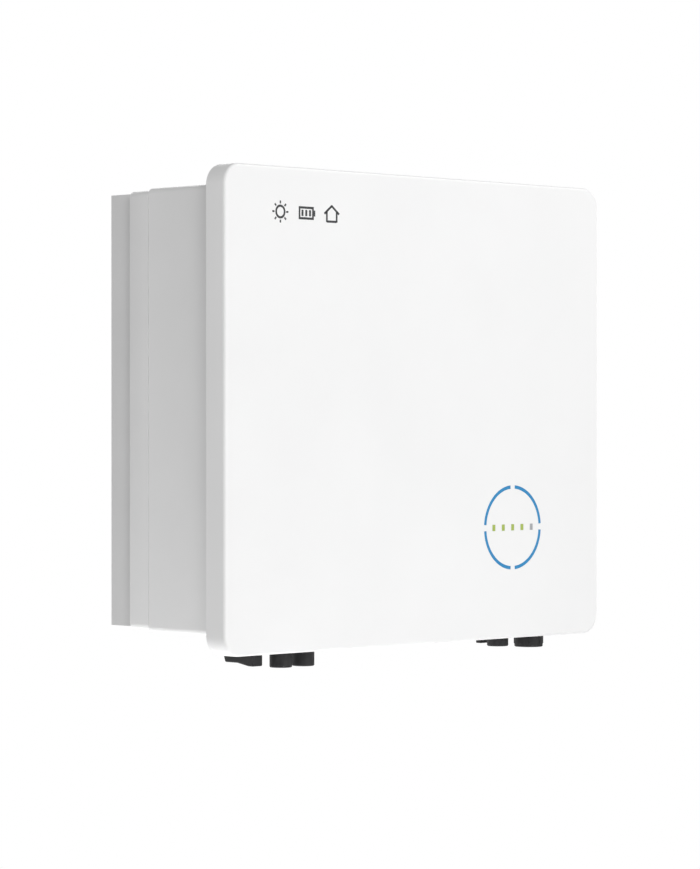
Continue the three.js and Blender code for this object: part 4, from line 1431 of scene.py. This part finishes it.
def powerModule(node):
    # a moulded case on a metal base, whose back touches the heat sink's side of the board
    low, high, middle = nodeSpan(node)
    size = (high.x - low.x, high.z - low.z, moduleShape["corner"])
    shoulder, rear = high.y - moduleShape["shoulder"], high.y - moduleShape["baseThick"]
    case = bmesh.new()
    loft(case, [
        station(size, low.y, 2.5), station(size, low.y + 0.5, 2), station(size, shoulder - 0.2, 2),
        station(size, shoulder, 0.5), station(size, rear, 0.5),
    ], (middle.x, middle.z))
    finishPiece(pieceName(node), case, moduleBlack, "inverter", node)
    base = bmesh.new()
    loft(base, [station(size, rear), station(size, high.y)], (middle.x, middle.z))
    finishPiece(pieceName(node) + "Base", base, tin, "inverter", edge=moduleShape["edge"])


rotorShape = {
    "blades": 7, "sweep": 0.55, "pitch": 0.62, "thick": 1.1, "steps": 8, "low": 1.4, "rise": 10.6,
    "camber": 1.2,
    "hub": [
        (0, 0.6), (3, 0.6), (3.4, 0), (11.8, 0), (12.7, 0.5), (13, 1.4), (13, 13.4), (12.2, 14.2), (0, 14.2),
    ],
    "root": 12.4,
}
fanFrameShape = {
    "corner": 4, "bore": 26.5, "screwHole": 2.2, "screwPitch": 25, "plate": 4, "waist": 9,
    "struts": 3, "strut": 2.6, "strutThick": 1.8, "hub": [(0, 0), (12.4, 0), (13, 0.6), (13, 1.8), (0, 1.8)],
}


def fanRotor():
    low, high, middle = nodeSpan("fan_rotor")
    radius = (high.x - low.x) / 2
    hub = bmesh.new()
    turned(hub, rotorShape["hub"], (middle.x, middle.y, low.z + 0.7), 48)
    finishPiece("fanHub", hub, blackNylon, "fan", "fan_rotor")
    blades, steps, root = bmesh.new(), rotorShape["steps"], rotorShape["root"]
    for i in range(rotorShape["blades"]):
        start = i * 2 * math.pi / rotorShape["blades"]
        for vert in bmesh.ops.create_grid(blades, x_segments=steps, y_segments=steps, size=1)["verts"]:
            across, along = (vert.co.x + 1) / 2, (vert.co.y + 1) / 2
            reach = root + along * (radius - 0.4 - root)
            angle = start + rotorShape["sweep"] * along * along + across * rotorShape["pitch"]
            camber = rotorShape["camber"] * math.sin(across * math.pi)
            rise = rotorShape["low"] + rotorShape["rise"] * across + camber
            vert.co = (middle.x + reach * math.cos(angle), middle.y + reach * math.sin(angle), low.z + rise)
    rotor = finishPiece("fanBlades", blades, blackNylon, "fan")
    thicken = rotor.modifiers.new("blade thickness", "SOLIDIFY")
    thicken.thickness = rotorShape["thick"] / 1000
    thicken.offset = 0
    settle(rotor)


def fanFrame():
    # a square frame with corner screw holes, waisted between its two plates, and a hub on three struts
    low, high, middle = nodeSpan("fan_frame")
    depth = high.z - low.z
    size = (high.x - low.x, high.x - low.x, fanFrameShape["corner"])
    bore, hole, pitch, waist = (fanFrameShape[key] for key in ("bore", "screwHole", "screwPitch", "waist"))
    bm = bmesh.new()
    loft(bm, [station(size, 0), station(size, depth)], steps=6)
    bm.transform(Matrix.Translation((middle.x, middle.y, high.z)) @ Matrix.Rotation(-math.pi / 2, 4, "X"))
    casing = finishPiece("fanFrame", bm, blackNylon, "inverter", "fan_frame")
    cut = bmesh.new()
    turned(cut, section(0, bore, -1, depth + 1), (middle.x, middle.y, low.z), 64)
    for x in (middle.x - pitch, middle.x + pitch):
        for y in (middle.y - pitch, middle.y + pitch):
            turned(cut, section(0, hole, -1, depth + 1), (x, y, low.z), 20)
            block(
                cut, (x - waist, y - waist, low.z + fanFrameShape["plate"]),
                (x + waist, y + waist, high.z - fanFrameShape["plate"]),
            )
    combine(casing, toolShape("fanCuts", cut))
    struts, half, thick = bmesh.new(), fanFrameShape["strut"] / 2, fanFrameShape["strutThick"]
    centre = Vector((middle.x, middle.y, low.z))
    turned(struts, fanFrameShape["hub"], centre, 48)
    for i in range(fanFrameShape["struts"]):
        strut = block(struts, (12, -half, 0), (bore + 0.4, half, thick))
        turn = Matrix.Rotation(i * 2 * math.pi / fanFrameShape["struts"] + 0.5, 4, "Z")
        bmesh.ops.transform(struts, matrix=Matrix.Translation(centre) @ turn, verts=strut)
    finishPiece("fanStruts", struts, blackNylon, "inverter")


switchBodyShape = {
    "decks": 3, "terminals": (-14, 0, 14), "row": 18.5, "edge": 0.7, "terminalHalf": (5, 3.5),
    "screw": [(0, 0), (2.6, 0), (2.6, 0.9), (2.2, 1.3), (0, 1.3)],
    "collar": [(0, 0), (9, 0), (9, -0.3), (0, -0.3)],
}


def dcSwitchBody():
    # three contact decks on one shaft, with a terminal screw at each side of every pole
    low, high, middle = nodeSpan("dc_switch_body")
    deck = (high.z - low.z) / switchBodyShape["decks"]
    wide, deep = switchBodyShape["terminalHalf"]
    body, screws = bmesh.new(), bmesh.new()
    for i in range(switchBodyShape["decks"]):
        bottom, top = low.z + i * deck, low.z + (i + 1) * deck
        block(body, (low.x + 2, low.y + 4, bottom + 0.3), (high.x - 2, high.y - 4, top - 0.3))
        for x in switchBodyShape["terminals"]:
            for side in (-1, 1):
                place = Vector((middle.x + x, middle.y + side * switchBodyShape["row"], top - 2.5))
                block(body, place + Vector((-wide, -deep, 4 - deck)), place + Vector((wide, deep, 0)))
                turned(screws, switchBodyShape["screw"], place + Vector((0, side * 0.4, 0)), 20)
    turned(body, switchBodyShape["collar"], (middle.x, middle.y, low.z + 0.4), 32)
    edge = switchBodyShape["edge"]
    finishPiece("dcSwitchBody", body, switchGrey, "inverter", "dc_switch_body", edge=edge)
    finishPiece("dcSwitchTerminals", screws, stainless, "inverter")


def boardParts(name, finish, front, parts, edge=0.25, body="inverter"):
    # each part is (x, z, width, height, how far it stands forward of the board)
    bm = bmesh.new()
    for x, z, width, height, proud in parts:
        block(bm, (x - width / 2, front - proud, z - height / 2), (x + width / 2, front, z + height / 2))
    return finishPiece(name, bm, finish, body, edge=edge)


# The places on the control board are measured from the board's middle, and those on the power board from its
# own middle, across and up.
controlLayout = {
    "chips": [(-20, 4, 16, 16, 1.4), (18, 10, 12, 10, 1.2), (40, 8, 6, 5, 1.1)]
    + [(-62 + 9 * i, 22, 5, 4, 1) for i in range(4)],
    "headers": [(-78 + 26 * i, -34, 22, 11, 9) for i in range(6)],
    "small": [(-50 + 6.5 * i, -12 + 5 * (i % 3), 2, 1.3, 0.8) for i in range(18)],
    "cans": [(58, 2), (68, 2), (78, 2), (58, -10), (68, -10)],
    "canProfile": [(0, -9.8), (3.6, -9.8), (4, -9.4), (4, -1.6), (3.7, -1.2), (4, -0.8), (4, 0), (0, 0)],
    "screws": [(-111, -41), (-111, 41), (70, -41), (70, 41)],
    "screwProfile": [(0, -1.8), (2.6, -1.8), (3, -1.4), (3, 0), (0, 0)],
    "pinsPerHeader": 4, "pinPitch": 5, "pinHalf": 0.6, "pinReach": (9.6, 0.5), "pinDrop": (2, 0.8),
    "cableHeader": (20, 7, 6),
}
powerLayout = {
    "film": [(-20 + 24 * i, -32, 20, 11, 18) for i in range(5)]
    + [(-175 + 35 * i, -40, 28, 14, 22) for i in range(2)],
    "drivers": [(-100, 66, 12, 8, 2.4), (-78, 66, 12, 8, 2.4), (95, 62, 12, 8, 2.4)]
    + [(-190 + 16 * i, -70, 8, 10, 1.6) for i in range(5)],
    "small": [(-195 + 7 * i, -88 - 4 * (i % 2), 2.2, 1.4, 0.9) for i in range(14)],
    "bars": [(-55, -6, 66, 8, 2.5), (25, -6, 66, 8, 2.5)],
    "screwProfile": [(0, -3.2), (3.4, -3.2), (4, -2.6), (4, -0.6), (5, -0.5), (5, 0), (0, 0)],
}


def placed(parts, middle):
    return [(x + middle.x, z + middle.z, *rest) for x, z, *rest in parts]


def controlParts():
    middle = nodeMiddle("control_board")
    front = nodeBox("control_board")[0].y - boardLift
    boardParts("controlChips", chipBlack, front, placed(controlLayout["chips"], middle))
    headers = placed(controlLayout["headers"], middle)
    cable = nodeMiddle("indicator_cable")
    cableHeader = (cable.x, cable.z, *controlLayout["cableHeader"])
    boardParts("controlHeaders", headerCream, front, headers + [cableHeader], 0.4)
    boardParts("controlPassives", partBeige, front, placed(controlLayout["small"], middle), 0.1)
    cans, pins = bmesh.new(), bmesh.new()
    for x, z in placed(controlLayout["cans"], middle):
        turnedBack(cans, controlLayout["canProfile"], (x, front, z), 28)
    finishPiece("controlCans", cans, aluminium, "inverter")
    count, pitch = controlLayout["pinsPerHeader"], controlLayout["pinPitch"]
    half, (tip, root), (drop, lift) = (controlLayout[key] for key in ("pinHalf", "pinReach", "pinDrop"))
    for x, z in [header[:2] for header in headers]:
        for i in range(count):
            across = x + (i - (count - 1) / 2) * pitch
            block(pins, (across - half, front - tip, z - drop), (across + half, front - root, z - lift))
    for x, z in placed(controlLayout["screws"], middle):
        turnedBack(pins, controlLayout["screwProfile"], (x, front, z), 24)
    finishPiece("controlPins", pins, stainless, "inverter")


def powerParts():
    middle = nodeMiddle("power_board")
    front = nodeBox("power_board")[0].y - boardLift
    boardParts("filmCapacitors", filmYellow, front, placed(powerLayout["film"], middle), 0.8)
    boardParts("driverChips", chipBlack, front, placed(powerLayout["drivers"], middle))
    boardParts("powerPassives", partBeige, front, placed(powerLayout["small"], middle), 0.1)
    boardParts("busBars", tin, front, placed(powerLayout["bars"], middle), 0.4)
    screws = bmesh.new()
    for x, z in fourCorners(boardPost["x"], boardPost["z"]):
        turnedBack(screws, powerLayout["screwProfile"], (x, front, z), 28)
    finishPiece("boardScrews", screws, stainless, "inverter")


indicatorShape = {
    "barLamp": (2.8, 3.5, 1.1), "ringLamp": (3, 3, 1.1), "ringLamps": 16, "ringRadius": 41,
    "plug": {"before": 2, "after": 18, "inset": 1.5, "thick": 0.25},
}


def indicatorParts():
    # a lamp behind each bar and sixteen behind the ring, and the plug where the flat cable is soldered
    low, high = nodeBox("indicator_board")
    lamps = [(x, ringMiddle.z, *indicatorShape["barLamp"]) for x in barPlaces]
    for i in range(indicatorShape["ringLamps"]):
        angle = (i + 0.5) * 2 * math.pi / indicatorShape["ringLamps"]
        x = ringMiddle.x + indicatorShape["ringRadius"] * math.cos(angle)
        z = ringMiddle.z + indicatorShape["ringRadius"] * math.sin(angle)
        lamps.append((x, z, *indicatorShape["ringLamp"]))
    boardParts("indicatorLamps", lampWhite, low.y - boardLift, lamps, 0.2, "cover")
    cableLow, cableHigh = nodeBox("indicator_cable")
    before, after, inset, thick = indicatorShape["plug"].values()
    plug = bmesh.new()
    foot = (cableLow.x - before, high.y, cableLow.z + inset)
    block(plug, foot, (cableLow.x + after, high.y + thick, cableHigh.z - inset))
    finishPiece("indicatorPlug", plug, headerCream, "cover", edge=0.05)


for node, (bore, turns, wire) in coils.items():
    winding(node, bore, turns, wire)
    coilCore(node, bore, wire)
for number in (1, 2, 3, 4):
    dcLinkCapacitor(f"dc_link_capacitor_{number}")
batteryTransformer()
for number in (1, 2):
    relay(f"relay_{number}")
    powerModule(f"power_module_{number}")
fanRotor()
fanFrame()
dcSwitchBody()
controlParts()
powerParts()
indicatorParts()
carried = {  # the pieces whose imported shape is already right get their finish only
    "power_board": boardGreen, "control_board": boardGreen, "indicator_board": boardGreen,
    "indicator_cable": ribbonGrey, "control_board_bracket": zinc,
}
for node, finish in carried.items():
    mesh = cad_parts[node].data
    mesh.materials.clear()
    mesh.materials.append(finish)
print("inside done")


studio = {  # angles in degrees, the lens and sensor in millimetres, the rest in metres
    "cameraAzimuth": -44.95, "cameraElevation": 0.285, "cameraDistance": 3.35, "lens": 138.58, "sensor": 36,
    "target": (-0.0053, -0.1078, -0.024),
    "floorDrop": 0.8, "floorSize": 1.2, "floorGlow": 0.9, "skyGlow": 0.3,
}

lamps = {  # place, what it is aimed at, width and watts
    "keyFront": ((0.5, -3.4, 0.3), (0, -0.2, 0), 2.4, 41),
    "topRight": ((2.2, -1.8, 2.6), (0, -0.2, 0), 1.6, 48),
    "below": ((-0.26, -0.18, -0.76), (-0.26, -0.18, 0), 0.3, 1.1),
    "keyLeft": ((-1.9, -2.9, 0.9), (0, -0.2, 0), 1.2, 31.5),
    "rearLeft": ((-2.6, 1.6, 0.5), (0, -0.1, 0), 1.4, 13.2),
    "lowLeft": ((-2, 0.3, -0.5), (0, -0.1, -0.1), 1, 1),
    "belowRear": ((-0.15, 0.4, -0.6), (-0.15, -0.15, -0.2), 0.9, 2),
    "rearRight": ((1.5, 2.7, 0.7), (0, -0.1, 0), 2, 42),
    "right": ((3, -0.5, 0.3), (0, -0.1, 0), 1.8, 6),
}


def aimedLight(name, place, target, size, power):
    light = bpy.data.lights.new(name, "AREA")
    light.shape = "DISK"
    light.size = size
    light.energy = power
    lamp = linkObject(name, light)
    lamp.visible_camera = False
    lamp.location = place
    lamp.rotation_euler = (Vector(target) - Vector(place)).to_track_quat("-Z", "Y").to_euler()


def makeCamera():
    data = bpy.data.cameras.new("camera")
    data.lens = studio["lens"]
    data.sensor_width = studio["sensor"]
    data.clip_end = 100
    camera = linkObject("camera", data)
    a, e = math.radians(studio["cameraAzimuth"]), math.radians(studio["cameraElevation"])
    back = Vector((math.sin(a) * math.cos(e), -math.cos(a) * math.cos(e), math.sin(e)))
    camera.location = Vector(studio["target"]) + back * studio["cameraDistance"]
    camera.rotation_euler = (-back).to_track_quat("-Z", "Y").to_euler()
    bpy.context.scene.camera = camera


def makeFloor():
    bm = bmesh.new()
    bmesh.ops.create_circle(bm, cap_ends=True, segments=96, radius=studio["floorSize"] / 2)
    bmesh.ops.translate(bm, verts=bm.verts, vec=(0, -0.1, -studio["floorDrop"]))
    mesh = newMesh("floor", bm)
    floor = linkObject("floor", mesh)
    material, place = startFinish("opal light table")
    fleck = noiseAt(material, place, 40, 2)
    tone = tinted(material, fleck, "#efefef", "#f3f3f3")
    glow = studio["floorGlow"]  # a light table, which also lights the object softly from below
    mesh.materials.append(closeFinish(
        material, Base_Color=tone, Emission_Color=tone, Emission_Strength=glow, Roughness=0.9,
    ))


def makeSky():
    # a plain white studio: pure white where the camera sees it, softer where it lights the object
    world = bpy.data.worlds.new("studio")
    world.use_nodes = True
    world.node_tree.nodes.clear()
    path = addNode(world, "ShaderNodeLightPath").outputs["Is Camera Ray"]
    strength = addNode(world, "ShaderNodeMapRange", {
        "Value": path, "To Min": studio["skyGlow"], "To Max": 1.0,
    })
    glow = addNode(world, "ShaderNodeBackground", {
        "Color": (1, 1, 1, 1), "Strength": strength.outputs["Result"],
    })
    addNode(world, "ShaderNodeOutputWorld", {"Surface": glow.outputs["Background"]})
    bpy.context.scene.world = world


bpy.context.scene.view_settings.view_transform = "Standard"
makeCamera()
makeFloor()
makeSky()
for name, (place, aim, size, power) in lamps.items():
    aimedLight(name, place, aim, size, power)
print("studio done")
